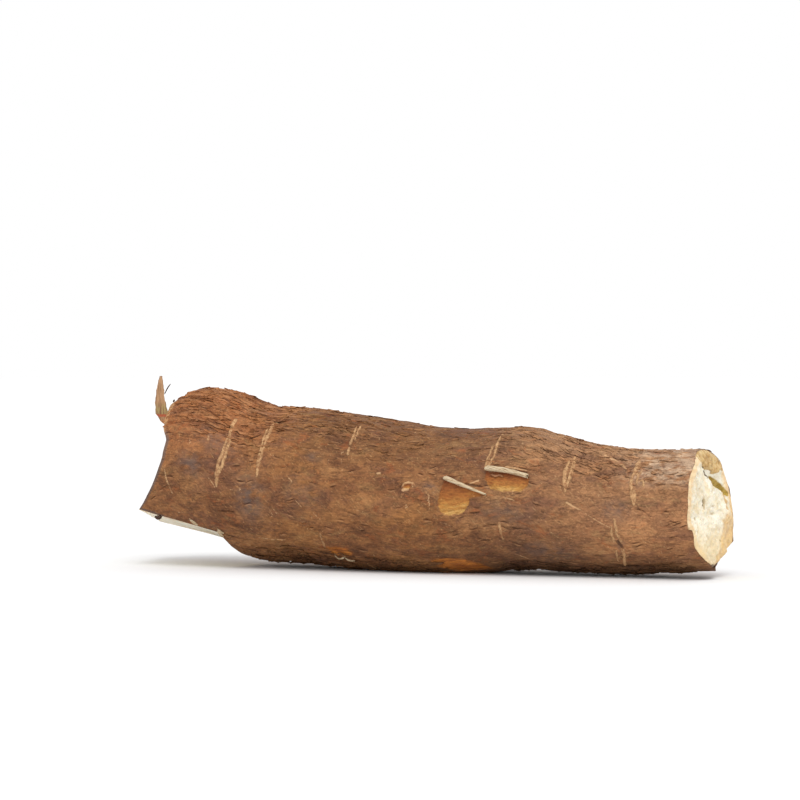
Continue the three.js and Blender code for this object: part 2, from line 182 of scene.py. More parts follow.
# Corky scars as strands of (station, angle, half width).
SCARS = [
    [(-91.5, 51, 0.7), (-91.6, 46, 0.9), (-92.1, 40, 0.7), (-91.6, 35, 0.45), (-90.3, 31, 0.5)],
    [
        (-90.3, 31, 0.5), (-90.7, 27, 0.6), (-91.4, 18, 0.65), (-92, 11, 0.6), (-93.1, 6, 0.45),
        (-93.7, 0, 0.3),
    ],
    [(-91.9, 34, 0.35), (-92.5, 21.5, 0.55), (-93.8, 13, 0.75), (-94.4, 6, 0.65), (-94.9, 1, 0.5)],
    [(-94.4, 5, 0.5), (-94.6, -3, 0.75), (-94.7, -5, 0.4)],
    [(-72.8, 59, 0.5), (-73.2, 54, 0.65), (-72.6, 47, 0.8), (-72.8, 40, 0.7), (-73, 31, 0.45)],
    [(-73, 31, 0.45), (-73.3, 23, 0.65), (-73.9, 16, 0.7), (-74, 8, 0.5)],
    [(-74.5, 48, 0.3), (-74.7, 40, 0.45), (-74.3, 34, 0.4), (-74.4, 27, 0.35), (-74.6, 18, 0.3)],
    [(-31.4, 65, 0.4), (-30.8, 57, 0.5), (-30.6, 48, 0.35)],
    [(-33, 63, 0.3), (-32.1, 54, 0.45), (-32, 45, 0.5), (-31.9, 42, 0.3)],
    [(-31.7, 39, 0.45), (-31.5, 36, 0.6), (-31.4, 33, 0.35)],
    [(37.7, 64, 0.3), (37.7, 56, 0.45), (38, 47, 0.6), (38.2, 37, 0.4), (37.2, 30, 0.5)],
    [(35.9, 48, 0.3), (35.9, 40, 0.4), (35.5, 33, 0.45), (35.5, 26, 0.5)],
    [(36.6, 35, 0.3), (36.3, 30, 0.45), (38.6, 27, 0.4), (40.5, 28, 0.3)],
    [(73.9, 50, 0.65), (74.3, 42, 0.85), (74.3, 33, 0.8), (73.7, 26, 0.6), (73, 19, 0.5)],
    [(72.4, 46, 0.4), (71.9, 41, 0.65), (71.5, 32, 0.9), (72, 23, 0.8), (72.8, 16, 0.5)],
    [(103.2, 54, 0.65), (103.2, 48, 1.3), (103.0, 42, 1.0), (102.6, 39, 0.6)],
    [(102.5, 39, 0.6), (101.9, 33, 0.6), (102.1, 25, 0.75), (102.6, 22, 0.6)],
    [(103.6, 41, 0.4), (104.7, 36, 0.5), (104.6, 29, 0.4)],
    [(105.6, 42, 0.3), (105.4, 39, 0.4)],
    [(106.6, 32, 0.3), (107.6, 30, 0.4), (107.7, 26, 0.3)],
    [(102.6, 24, 0.7), (103.2, 20, 1.3), (103.6, 16, 1.3), (104, 9, 0.5)],
    [(95.1, -5, 0.4), (95.6, -13, 0.6), (96.1, -20, 0.7), (97.3, -27, 0.5)],
    [(93.6, -12, 0.3), (93.5, -21, 0.45), (94, -27, 0.4)],
    [(97.2, -36, 0.5), (97.3, -42, 0.65), (96.7, -49, 0.75), (95.9, -58, 0.5)],
    [(94.4, -37, 0.3), (93.9, -43, 0.4), (93.7, -52, 0.3)],
    [(42.7, -16, 0.3), (42.8, -22, 0.55), (43, -26, 0.45), (43.2, -31, 0.3)],
    [(-44.1, -30, 0.3), (-44.2, -33, 0.4), (-44.1, -37, 0.4), (-44.2, -44, 0.35)],
    [(-106, 118, 0.5), (-105.5, 130, 0.9), (-105, 142, 0.7), (-104.5, 156, 0.9), (-104, 168, 0.4)],
    [(-107.2, 128, 0.3), (-107, 140, 0.5), (-106.6, 152, 0.3)],
    [(-62, 128, 0.4), (-63, 145, 0.9), (-63.4, 160, 0.7), (-64, 176, 0.4)],
    [(-20, 186, 0.4), (-18.6, 200, 0.8), (-18.4, 216, 0.9), (-18, 232, 0.4)],
    [(-20.6, 196, 0.3), (-20.4, 212, 0.5), (-19.6, 224, 0.3)],
    [(18, 122, 0.4), (17.4, 134, 0.8), (16.4, 146, 0.6), (16, 158, 0.3)],
    [(55, 168, 0.4), (56, 184, 0.9), (56.6, 200, 0.8), (57, 216, 0.4)],
    [(53.2, 176, 0.3), (53.6, 190, 0.5), (54.6, 204, 0.3)],
    [(86, 116, 0.4), (85.6, 132, 0.8), (85, 150, 0.4)],
    [(110, 186, 0.4), (109.2, 202, 0.8), (109, 216, 0.6), (109, 230, 0.4)],
    [(-66, 220, 0.4), (-66.4, 232, 0.7), (-67, 242, 0.4)],
]
SMALL_SCARS = 60

# Pale scratches, with the same three numbers.
SCRATCHES = [
    [(-122.6, -2, 0.3), (-121.4, -11.5, 0.45), (-119.9, -17.5, 0.2)],
    [(-119.6, -18, 0.3), (-119.2, -20, 0.4)],
    [(-98.8, -1, 0.25), (-95.5, -6.5, 0.3)],
    [(-58.7, 10, 0.2), (-55.7, 5.5, 0.3)],
    [(-68.5, -14, 0.2), (-66.8, -19.5, 0.3)],
    [(-66.7, -13, 0.2), (-64.5, -18.5, 0.25)],
    [(-54.2, -7, 0.25), (-50.9, -11.5, 0.2)],
    [(-45.9, -13.5, 0.2), (-42.1, -19, 0.2)],
    [(-77.8, -41, 0.2), (-70, -41.8, 0.25), (-63.7, -41, 0.2)],
    [(73.4, 6.8, 0.4), (76, 4.6, 0.45), (79.7, 1.6, 0.25)],
    [(80.2, 1.2, 0.1), (85.3, -4.8, 0.2), (89, -9, 0.25), (93.1, -13, 0.2)],
    [(10.5, 8, 0.25), (10.8, 3, 0.25), (11, -2, 0.15)],
    [(46.8, -47.5, 0.15), (50, -52, 0.25), (53.3, -57, 0.15)],
    [(44.8, 3, 0.15), (48.5, 2.6, 0.2), (52, 0, 0.15)],
    [(45, 28.4, 0.3), (49, 27.6, 0.45), (54.5, 27.7, 0.3)],
    [(28.9, 15.2, 0.3), (33.1, 17.2, 0.4)],
    [(86.4, 59, 0.5), (92.3, 52.7, 0.6), (100.2, 42, 0.3)],
    [(-41.3, -52, 0.5), (-39.6, -56, 0.4), (-36.3, -52, 0.5), (-35.1, -55.5, 0.4), (-31.7, -56, 0.4)],
    [(-112.5, -40, 0.6), (-110.5, -42, 0.9), (-109.2, -44.5, 0.6)],
    [(-15.4, 21, 0.4), (-14.2, 21.4, 0.6)],
    [(-2.8, 13.6, 0.3), (-1.8, 15.8, 0.35), (0, 16.9, 0.4), (2.4, 16.6, 0.25)],
    [(-1.9, 10.8, 0.7), (0.3, 11.4, 0.65)],
]
SMALL_SCRATCHES = 260

# Dark cracks, with the same three numbers.
CRACKS = [
    [(-89.7, 39.4, 0.3), (-88, 37.6, 0.5), (-86.2, 36.9, 0.4), (-84.6, 37.4, 0.2)],
    [(-82.6, 37.6, 0.25), (-80.4, 38.6, 0.45), (-78.2, 40.7, 0.4), (-76.4, 42.4, 0.2)],
    [(-103.6, 35, 0.2), (-98.9, 37.2, 0.35), (-92.8, 38.8, 0.3)],
    [(-110.3, 38.7, 0.25), (-106.9, 38.5, 0.25)],
    [(-101, 48.2, 0.25), (-97, 51.4, 0.35), (-94.3, 53.6, 0.25)],
    [(-90.9, 57.3, 0.3), (-86.5, 60.6, 0.3)],
    [(-83.6, 58.2, 0.25), (-77.4, 60.2, 0.3)],
    [(-63, 52.3, 0.25), (-57.7, 51.7, 0.4), (-53.7, 56.9, 0.3), (-49.1, 55.7, 0.25)],
    [(-43, 55.9, 0.25), (-36.5, 54.1, 0.25)],
    [(-82.2, 23.3, 0.3), (-78.6, 22.5, 0.25)],
    [(-94.8, -24, 0.2), (-90, -21.4, 0.3), (-87, -20.8, 0.2)],
    [(27, 15.6, 0.3), (30, 14.0, 0.5), (33.6, 12.6, 0.45), (35, 12, 0.2)],
    [(42.3, 26.1, 0.3), (46, 25.4, 0.4), (50.9, 25.6, 0.45), (54.6, 25.6, 0.3)],
    [(50.5, 28.8, 0.2), (55.5, 28.6, 0.3), (62.7, 28.9, 0.15)],
    [(37.9, 54.2, 0.5), (40.2, 54.0, 0.45), (41.6, 54.4, 0.2)],
    [(3, 5.3, 0.15), (7.2, 3.6, 0.2)],
    [(48.2, -20.6, 0.3), (50.5, -21.2, 0.4), (52.9, -20.9, 0.2)],
    [(36.7, -17.5, 0.2), (41.6, -18.7, 0.25)],
    [(32.1, -29, 0.3), (36.8, -30.9, 0.3)],
    [(11, -21.3, 0.2), (17, -21.6, 0.2), (22.4, -20.2, 0.15)],
    [(113.8, 27.3, 0.3), (117.6, 27.8, 0.25)],
    [(117.9, -13.1, 0.1), (121.3, -9.7, 0.2), (124.7, -8.2, 0.1)],
    [(119.5, -25.5, 0.2), (122.9, -23.7, 0.25)],
    [(105.3, 5.7, 0.1), (108, 3.4, 0.15), (111.7, -3.4, 0.1)],
    [(95.6, -27.5, 0.7), (96.6, -31.5, 0.9), (97.2, -34, 0.4)],
    [(-3.4, 12.6, 0.5), (-2.9, 14.6, 0.4)],
    [(29.5, -7.2, 0.2), (32, -7.6, 0.3), (34, -7.4, 0.2)],
]
FINE_CRACKS = 1200

# Bare patches where the outer skin is gone: corners as (station, angle).
PATCHES = [
    [
        (17, 19.5), (14.9, 3), (16.2, -4.5), (19.6, -7.6), (26.5, -6.6),
        (29.3, -0.5), (29.4, 4), (36.5, 5.5), (29, 11.5),
    ],
    [(36, 24.5), (36.3, 18), (38.6, 10.4), (44, 8.4), (52.3, 9.4), (55.6, 14), (56, 22)],
    [(-43, 193), (-25, 185), (-27, 172), (-36, 170), (-42, 178)],
    [(-42.9, -43.5), (-38, -41.5), (-32.8, -42), (-31.4, -47), (-33.1, -50.4), (-41.7, -53)],
    [(7, -47.5), (14.4, -45.3), (22.7, -49), (28.5, -57), (32, -70), (16, -66), (8.4, -56)],
    [(-2.0, 13.6), (-0.2, 15.6), (1.8, 15.2), (1, 12), (-1.2, 11.6)],
    [(60, 205), (78, 208), (80, 214), (64, 218)],
    [(-60, 228), (-44, 232), (-48, 240), (-58, 238)],
]
DEEP_PATCHES = (3, 4)  # the ones that are orange all over

# Greyish stains on the skin: station, angle, half length, half width in degrees, strength.
STAINS = [
    (-78, -8, 7, 16, 1.0), (-92, 22, 8, 12, 0.45), (-108, 5, 7, 8, 0.9), (-101, 28, 8, 9, 0.5),
    (96, 3, 7, 10, 0.7), (96.4, -31, 2.2, 5, 1.0), (10.8, 13.7, 3, 4, 0.9), (-47.7, 26.7, 4, 4, 0.6),
    (-51, -2, 9, 12, 0.5), (45, -8, 12, 9, 0.55), (62, -42, 14, 12, 0.6), (-20, 150, 12, 12, 0.7),
    (70, 190, 10, 14, 0.6), (-90, 170, 9, 12, 0.7), (25, 235, 14, 10, 0.6),
]

# ---- Numbers ----


def smooth_step(low, high, x):
    t = np.clip((x - low) / (high - low), 0, 1)
    return t * t * (3 - 2 * t)


def bump(x, half_width):
    return np.exp(-((x / half_width) ** 2))


def mix(a, b, t):
    return a + (b - a) * t


def lattice_noise(u, v, around, seed, length=128):
    """Smooth noise from -0.5 to 0.5 at u, v, in lattice steps. It repeats every `around` steps of v."""
    values = np.random.default_rng(SEED + seed).random((length, around)) - 0.5
    i, j = np.floor(u).astype(int), np.floor(v).astype(int)
    a, b = smooth_step(0, 1, u - i), smooth_step(0, 1, v - j)

    def row(k):
        return mix(values[i % length, k % around], values[(i + 1) % length, k % around], a)

    return mix(row(j), row(j + 1), b)


def bark_noise(station, angle, run, count, seed):
    """Noise on the skin: `run` is its length along the root, `count` its cells round the girth."""
    return lattice_noise(station / run + 60, angle / 360 * count, count, seed)


def flat_noise(y, z, size, seed):
    """Noise on an end face, whose features are `size` millimetres across."""
    return lattice_noise(y / size + 40, z / size + 40, 96, seed)


def turn_between(angle, reference):
    """Signed angle from reference to angle, from -180 to 180."""
    return (angle - reference + 540) % 360 - 180


def unit(vectors):
    return vectors / (np.linalg.norm(vectors, axis=-1, keepdims=True) + 1e-12)


def halved(low, high, is_low):
    """Where `is_low` stops being true, found by halving the way from low to high."""
    for _ in range(HALVINGS):
        middle = (low + high) / 2
        below = is_low(middle)
        low, high = np.where(below, middle, low), np.where(below, high, middle)
    return (low + high) / 2


# ---- The skin ----


def along(station, column):
    """A column of SECTIONS at a station, on a smooth curve through its rows."""
    knots, values = SECTIONS[:, 0], SECTIONS[:, column]
    wide_knots, wide_values = np.pad(knots, 1, "edge"), np.pad(values, 1, "edge")
    slopes = (wide_values[2:] - wide_values[:-2]) / (wide_knots[2:] - wide_knots[:-2])
    k = np.clip(np.searchsorted(knots, station) - 1, 0, len(knots) - 2)
    span = knots[k + 1] - knots[k]
    t = np.clip((station - knots[k]) / span, 0, 1)
    bend = t * (1 - t) * span * mix(slopes[k], -slopes[k + 1], t)
    return mix(values[k], values[k + 1], smooth_step(0, 1, t)) + bend


def roughness(station, angle):
    """How cracked the bark is: most on the neck and on the upper side of the other shoulder."""
    turn = turn_between(angle, 90)
    neck = smooth_step(-62, -100, station) * smooth_step(75, 42, np.abs(turn))
    neck = np.maximum(neck, 0.9 * smooth_step(52, 34, np.abs(turn)) * smooth_step(20, -40, station))
    shoulder = bump(station - 78, 36) * smooth_step(70, 35, np.abs(turn))
    return 0.22 + 0.78 * np.maximum(neck, shoulder * 0.85)


def crack_lines(station, angle, run, count, width, seed):
    """0 to 1 in wandering lengthwise lines, `count` of them round the girth."""
    wander = bark_noise(station, angle, run * 0.7, max(count // 4, 3), seed + 1) * 460 / count
    strand = bark_noise(station, angle + wander, run, count, seed)
    return np.clip(1 - np.abs(2 * strand) / width, 0, 1)


def plate_gaps(station, angle):
    """0 to 1 in the fissures between plates of bark."""
    return crack_lines(station, angle, 22, 34, 0.2, 4) ** 2


def coarse_relief(station, angle):
    """Lumps, and fissures that run lengthwise between plates of bark."""
    lumps = bark_noise(station, angle, 34, 9, 1)
    folds = bark_noise(station, angle, 15, 30, 2)
    return 0.7 * lumps + (0.9 * folds - 0.3 - 0.9 * plate_gaps(station, angle)) * roughness(station, angle)


def skin(station, angle, lift=0.0):
    """Points of the skin in millimetres, `lift` above it. The belly is pressed flat."""
    station, angle = np.broadcast_arrays(np.asarray(station, float), np.asarray(angle, float))
    a = np.radians(angle)
    girth = 1 + OVAL * np.cos(2 * a - station / 60) + LOBES * np.cos(3 * a + 1 + station / 45)
    radius = along(station, RADIUS) * girth + coarse_relief(station, angle) + lift
    y = along(station, SIDE) - radius * np.cos(a)
    z = np.maximum(along(station, HEIGHT) + radius * np.sin(a), 0)
    return np.stack([station, y, z], -1)


def outwards(angle):
    a = np.radians(np.asarray(angle, float))
    return np.stack([np.zeros_like(a), -np.cos(a), np.sin(a)], -1)


# ---- The end faces, as the station of the flesh at a place y, z ----


def scoop(y, z):
    above = z - NOTCH["height"]
    lean = np.where(above > 0, NOTCH["lean"] * above, NOTCH["curve"] * above**2)
    return NOTCH["station"] - NOTCH["skew"] * (y - NOTCH["front"]) - lean


def bevel(y, z):
    chop = BEVEL["station"] - BEVEL["slope"] * (z - BEVEL["height"]) - BEVEL["skew"] * (y - BEVEL["front"])
    return np.minimum(chop, TEAR["station"] - TEAR["slope"] * (z - TEAR["height"]))


def hacked_face(y, z):
    return np.maximum(scoop(y, z), bevel(y, z))


def snapped_face(y, z):
    knob = bump((y - KNOB["side"]) / KNOB["reach"][0], 1) * bump((z - KNOB["height"]) / KNOB["reach"][1], 1)
    snap = SNAP["station"] + SNAP["skew"] * y - SNAP["lean"] * (z - SNAP["height"]) + KNOB["rise"] * knob
    chip = CHIP["station"] - CHIP["skew"] * (y - CHIP["back"]) + CHIP["slope"] * (z - CHIP["height"])
    return np.minimum(snap, chip)


def rim_station(face, angle, span):
    """Where the skin at these angles meets an end face."""

    def within(station):
        _, y, z = np.moveaxis(skin(station, angle), -1, 0)
        return station < face(y, z)

    return halved(span[0] + 0 * angle, span[1] + 0 * angle, within)


def crest_angle(low, high, side):
    """The angle at which the crest between scoop and bevel reaches the rim."""

    def before(angle):
        _, y, z = skin(rim_station(hacked_face, angle, HACKED_SPAN), angle)
        return side * (scoop(y, z) - bevel(y, z)) > 0

    return float(halved(low, high, before))


def column_angles(count):
    """Two columns run into the crest's two corners, so that it stays crisp."""
    front, back = crest_angle(-60.0, 20.0, -1), crest_angle(180.0, 260.0, 1)
    above = round(count * (back - front) / 360)
    upper = np.linspace(front, back, above, endpoint=False)
    lower = np.linspace(back, front + 360, count - above, endpoint=False)
    return np.concatenate([upper, lower])


# ---- Fields on the skin: marks, patches, stains ----

FAR = 2.0  # millimetres: the fields of marks are kept as FAR plus the depth inside the mark, from 0


def strand_field(station, angle, strands):
    """FAR plus how deep a place lies inside the nearest strand, in millimetres."""
    field = np.zeros(station.shape)
    for strand in strands:
        for (s0, a0, w0), (s1, a1, w1) in zip(strand, strand[1:]):
            arc = math.radians(along((s0 + s1) / 2, RADIUS))
            reach = FAR + max(w0, w1)
            turn = turn_between(angle, (a0 + a1) / 2)
            near = (station > min(s0, s1) - reach) & (station < max(s0, s1) + reach)
            near &= np.abs(turn) * arc < abs(a1 - a0) / 2 * arc + reach
            x, y = station[near] - s0, (turn[near] - (a0 - a1) / 2) * arc
            dx, dy = s1 - s0, (a1 - a0) * arc
            t = np.clip((x * dx + y * dy) / (dx * dx + dy * dy), 0, 1)
            depth = mix(w0, w1, t) - np.hypot(x - t * dx, y - t * dy)
            field[near] = np.maximum(field[near], depth + FAR)
    return np.clip(field, 0, 9)


def small_scars():
    rng = np.random.default_rng(SEED + 50)
    strands = []
    for _ in range(SMALL_SCARS):
        station, angle = rng.uniform(-118, 122), rng.uniform(95, 300)
        reach, slant, half = rng.uniform(1.2, 5.5), rng.normal(0, 0.5), rng.uniform(0.2, 0.5)
        strands.append([(station, angle + reach, half * 0.5), (station + slant, angle - reach, half)])
    return strands


def small_scratches():
    """Short pale nicks, most of which slant down towards the snapped end."""
    rng = np.random.default_rng(SEED + 51)
    strands = []
    for _ in range(SMALL_SCRATCHES):
        s, a = rng.uniform(-120, 122), rng.uniform(-70, 250)
        length, heading = rng.gamma(2.0, 1.0) + 0.6, math.radians(rng.normal(-48, 28))
        half = rng.uniform(0.06, 0.2)
        ds, da = math.cos(heading) * length, math.sin(heading) * length * 1.8
        middle = (s + ds * 0.5, a + da * 0.5 + rng.normal(0, 1.2), half)
        strands.append([(s, a, half * 0.5), middle, (s + ds, a + da, half * 0.4)])
    return strands


def patch_field(station, angle):
    """(FAR plus the depth inside a bare patch, 0 at its foot to 1 at its head, 1 in a deep patch)."""
    field = np.full(station.shape, -9.0)
    tone, deep = np.zeros((2, *station.shape))
    for number, corners in enumerate(PATCHES):
        middle = np.mean([a for _, a in corners])
        scale = math.radians(along(corners[0][0], RADIUS))
        polygon = np.array([(s, (a - middle) * scale) for s, a in corners])
        x, y = station, turn_between(angle, middle) * scale
        distance = np.full(station.shape, 1e9)
        inside = np.zeros(station.shape, bool)
        for p, q in zip(polygon, np.roll(polygon, -1, axis=0)):
            edge = q - p
            t = np.clip(((x - p[0]) * edge[0] + (y - p[1]) * edge[1]) / (edge @ edge), 0, 1)
            distance = np.minimum(distance, np.hypot(x - p[0] - t * edge[0], y - p[1] - t * edge[1]))
            crosses = (p[1] > y) != (q[1] > y)
            side = (q[0] - p[0]) * (y - p[1]) / (q[1] - p[1] + 1e-12) + p[0]
            inside ^= crosses & (x < side)
        signed = np.where(inside, distance, -distance)
        low, high = polygon[:, 1].min(), polygon[:, 1].max()
        nearer = signed > field
        field = np.where(nearer, signed, field)
        tone = np.where(nearer, np.clip((y - low) / (high - low), 0, 1), tone)
        deep = np.where(nearer, float(number in DEEP_PATCHES), deep)
    return np.clip(field + FAR, 0, 9), tone, deep


def stain_field(station, angle):
    total = np.zeros(station.shape)
    for s, a, long, wide, strength in STAINS:
        total += strength * bump(station - s, long) * bump(turn_between(angle, a), wide)
    return np.clip(total, 0, 1)


def fine_cracks(station, angle):
    """Short lengthwise cracks with one lip raised: (depth of the crack 0 to 1, lift of the lip 0 to 1)."""
    rng = np.random.default_rng(SEED + 60)
    crack, lip = np.zeros(station.shape), np.zeros(station.shape)
    placed = 0
    while placed < FINE_CRACKS:
        s, a = rng.uniform(-136, 132), rng.uniform(0, 360)
        rough = roughness(s, a)
        if rng.random() > rough * 1.15:
            continue
        placed += 1
        half_length = rng.uniform(1.2, 3.2) + rng.uniform(0, 6.0) * rough
        # The cracks on the shoulder slant down towards the snapped end.
        slant = rng.normal(0, 0.12) - 0.28 * bump(s - 70, 22)
        wave, phase = rng.uniform(0.1, 0.5), rng.uniform(0, 6.3)
        strength = rng.uniform(0.35, 1.0)
        width = rng.uniform(0.2, 0.42)
        lip_side = rng.choice([-1, 1], p=[0.62, 0.38])
        arc = math.radians(along(s, RADIUS))
        near = np.abs(station - s) < half_length + 1
        near &= np.abs(turn_between(angle, a)) * arc < 5
        x = station[near] - s
        across = turn_between(angle[near], a) * arc - slant * x - wave * np.sin(x * 0.9 + phase)
        ends = np.clip(1 - (x / half_length) ** 2, 0, 1)
        crack[near] = np.maximum(crack[near], strength * ends * bump(across, width))
        beside = across * lip_side
        shape = np.where(beside > 0, np.exp(-beside / 1.2) * smooth_step(0, 0.4, beside), 0)
        lip[near] = np.maximum(lip[near], strength * ends * shape)
    return crack, lip


def skin_fields(station, angle, from_hacked_end):
    """(The fields of the skin's material, what its mesh adds to the coarse relief in millimetres)."""
    turn = turn_between(angle, 0)
    smooth_plate = bump(station + 83, 6) * bump(turn - 46, 7)
    rough = roughness(station, angle) * (1 - 0.8 * smooth_plate)
    dark = smooth_step(-48, -36, turn) * smooth_step(31, 26, turn)
    tan_reach = 2.2 * smooth_step(20, 48, turn) * smooth_step(80, 66, turn)
    lines = crack_lines(station, angle, 15, 66, 0.2, 10) ** 2
    finer = crack_lines(station, angle, 8, 130, 0.2, 14) ** 2
    gate = smooth_step(-0.08, 0.12, bark_noise(station, angle, 12, 26, 18))
    fissure = np.maximum(lines, 0.6 * finer) * np.clip(rough * 1.2 - 0.12, 0, 1) * gate
    crack, lip = fine_cracks(station, angle)
    patch, tone, deep = patch_field(station, angle)
    fields = {
        "scar": strand_field(station, angle, SCARS + small_scars()),
        "scratch": strand_field(station, angle, SCRATCHES + small_scratches()),
        "cut": strand_field(station, angle, CRACKS),
        "bare": patch,
        "bare_tone": tone,
        "bare_deep": deep,
        "stain": stain_field(station, angle),
        "crack": np.maximum(crack, np.maximum(fissure, 0.8 * plate_gaps(station, angle) * rough)),
        "lip": lip,
        "dark_edge": smooth_step(2.4, 1.1, from_hacked_end) * dark,
        "tan_edge": smooth_step(tan_reach + 0.5, tan_reach, from_hacked_end) * (tan_reach > 0.2),
    }
    wrinkles = bark_noise(station, angle, 6, 80, 5)
    grain = bark_noise(station, angle, 2.6, 190, 6)
    tiny = bark_noise(station, angle, 1.3, 320, 7)
    relief = 0.55 * wrinkles * rough + 0.22 * grain + 0.08 * tiny
    relief += 0.5 * lip * (0.4 + rough) - 0.55 * crack - 0.6 * fissure
    bare = smooth_step(-0.15, 0.3, patch - FAR)
    relief = relief * (1 - 0.75 * bare) - 0.5 * bare
    relief += 0.4 * smooth_step(-0.15, 0.3, fields["scar"] - FAR)
    relief -= 0.5 * smooth_step(-0.25, 0.25, fields["cut"] - FAR)
    return fields, relief - 0.12 * smooth_step(-0.15, 0.15, fields["scratch"] - FAR)


# ---- Detail of the end faces ----


def line_cut(y, z, line):
    """0 to 1 inside a lens-shaped cut along a line."""
    (y0, z0), (y1, z1) = line["from"], line["to"]
    dy, dz = y1 - y0, z1 - z0
    length = math.hypot(dy, dz)
    t = ((y - y0) * dy + (z - z0) * dz) / length**2
    across = ((z - z0) * dy - (y - y0) * dz) / length + 0.5 * np.sin(t * 7) * (length / 22)
    half = line["gape"] * np.sqrt(np.clip(1 - (2 * t - 1) ** 8, 0, 1)) + 1e-6
    return np.clip(1 - (across / half) ** 2, 0, 1) * (np.abs(2 * t - 1) < 1)


def woody_field(y, z):
    ragged = 1 + 0.5 * flat_noise(y, z, 3.2, 31)
    reach = np.hypot((y - WOODY["side"]) / WOODY["reach"][0], (z - WOODY["height"]) / WOODY["reach"][1])
    return smooth_step(1.25, 0.8, reach * ragged)


def facet_field(y, z):
    """0 to 1 on the golden facet at the rear and below."""
    side = y - 12.5 + 0.64 * (24 - z) + flat_noise(y, z, 2.5, 33) * 3
    return smooth_step(-1.2, 1.2, side) * smooth_step(31, 26, z)


def pit_field(y, z):
    total = np.zeros(np.shape(y))
    for py, pz, wide, high, depth in PITS:
        total = np.maximum(total, depth * bump(y - py, wide) * bump(z - pz, high))
    return total


def snapped_relief(y, z, inward):
    """The snapped flesh: broken fibre ends, steps, the knob, the split and the pits."""
    fibres = flat_noise(y, z, 1.6, 21) * 0.8 + flat_noise(y, z, 0.8, 22) * 0.4
    steps = np.abs(flat_noise(y, z, 6, 23)) * 2
    lumps = flat_noise(y, z, 9, 24)
    knob = woody_field(y, z) * (WOODY["rise"] + flat_noise(y, z, 2.2, 25) * 1.8)
    cut = sum(line["depth"] * line_cut(y, z, line) for line in (SPLIT, SEAM, HAIRLINE))
    return (fibres + 0.9 * steps + 1.6 * lumps + knob - cut - pit_field(y, z)) * np.minimum(inward * 7, 1)


def hacked_relief(y, z, inward):
    """The hacked flesh: torn fibres on the scoop, blade marks on the bevel."""
    fibres = flat_noise(y, z, 1.6, 41) * 0.9 + flat_noise(y, z, 0.9, 42) * 0.5
    lumps = flat_noise(y, z, 7, 43) * 3.0
    ledges = np.abs(flat_noise(y, z, 5, 44)) * 2.4
    torn = smooth_step(-1.0, 1.5, scoop(y, z) - bevel(y, z))
    blade = 0.25 * np.sin(z * 2.1 + y * 0.3) + flat_noise(y, z, 3, 45) * 0.5
    return np.minimum(inward * 5, 1) * (torn * (fibres + lumps + ledges) + (1 - torn) * blade)


# ---- Making meshes ----


def mesh_object(name, points, faces, material, attributes=None, normals=None):
    """A smooth mesh from points in millimetres. It rides on the root and replaces its CAD node."""
    points = np.asarray(points, float) * MM + (CENTRING * MM, 0, 0)
    mesh = bpy.data.meshes.new(name)
    mesh.from_pydata(points.tolist(), [], faces)
    mesh.materials.append(material)
    for key, values in (attributes or {}).items():
        layer = mesh.attributes.new(key, "FLOAT", "POINT")
        layer.data.foreach_set("value", np.asarray(values, np.float32).ravel())
    mesh.polygons.foreach_set("use_smooth", np.ones(len(mesh.polygons), bool))
    mesh.update()
    if normals is not None:
        mesh.normals_split_custom_set_from_vertices(normals.tolist())
    piece = bpy.data.objects.new(name, mesh)
    bpy.context.scene.collection.objects.link(piece)
    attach(piece, "root")
    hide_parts("cassava_root")


def closed_rings(rings, first_pole, last_pole):
    """A closed body from rings that run towards +X: (points, faces)."""
    count, columns = rings.shape[:2]
    points = np.concatenate([rings.reshape(-1, 3), [first_pole, last_pole]])
    a = np.arange(count * columns).reshape(count, columns)
    b = np.roll(a, -1, axis=1)
    quads = np.stack([a[:-1], a[1:], b[1:], b[:-1]], -1).reshape(-1, 4)
    first, last = a.size + np.zeros_like(a[0]), a.size + np.ones_like(a[0])
    fans = np.concatenate([np.stack([first, a[0], b[0]], -1), np.stack([last, b[-1], a[-1]], -1)])
    return points, quads.tolist() + fans.tolist()


def surface_normals(rings):
    """Outward normals of a tube of rings that close on themselves."""
    round_girth = np.roll(rings, -1, axis=1) - np.roll(rings, 1, axis=1)
    return unit(np.cross(np.gradient(rings, axis=0), round_girth))


def sheets(grids, thickness):
    """Closed thick sheets from grids of points (sheet, u, v, 3): (points, faces)."""
    count, rows, columns, _ = grids.shape
    half = unit(np.cross(np.gradient(grids, axis=1), np.gradient(grids, axis=2))) * thickness / 2
    points = np.stack([grids + half, grids - half], axis=1).reshape(-1, 3)
    size = rows * columns
    at = np.arange(size).reshape(rows, columns)
    quads = np.stack([at[:-1, :-1], at[1:, :-1], at[1:, 1:], at[:-1, 1:]], -1).reshape(-1, 4)
    border = np.concatenate([at[0, :-1], at[:-1, -1], at[-1, :0:-1], at[:0:-1, 0]])
    following = np.roll(border, -1)
    walls = np.stack([following, border, border + size, following + size], -1)
    one = np.concatenate([quads, quads[:, ::-1] + size, walls])
    faces = (one[None] + (np.arange(count) * 2 * size)[:, None, None]).reshape(-1, 4)
    return points, faces.tolist()


# ---- The skin's pieces ----


def edge_offset(edge, angle):
    knots, offsets = np.array(edge).T
    return np.interp(turn_between(angle, 0), knots, offsets)


def ragged_edges(angle):
    """The stations of the skin's two ragged ends."""
    ragged = RAGGEDNESS * (bark_noise(0 * angle, angle, 1, 60, 7) + bark_noise(0 * angle, angle, 1, 23, 8))
    start = rim_station(hacked_face, angle, HACKED_SPAN) + edge_offset(HACKED_EDGE, angle)
    end = rim_station(snapped_face, angle, SNAPPED_SPAN) + edge_offset(SNAPPED_EDGE, angle)
    return start + ragged, end + ragged


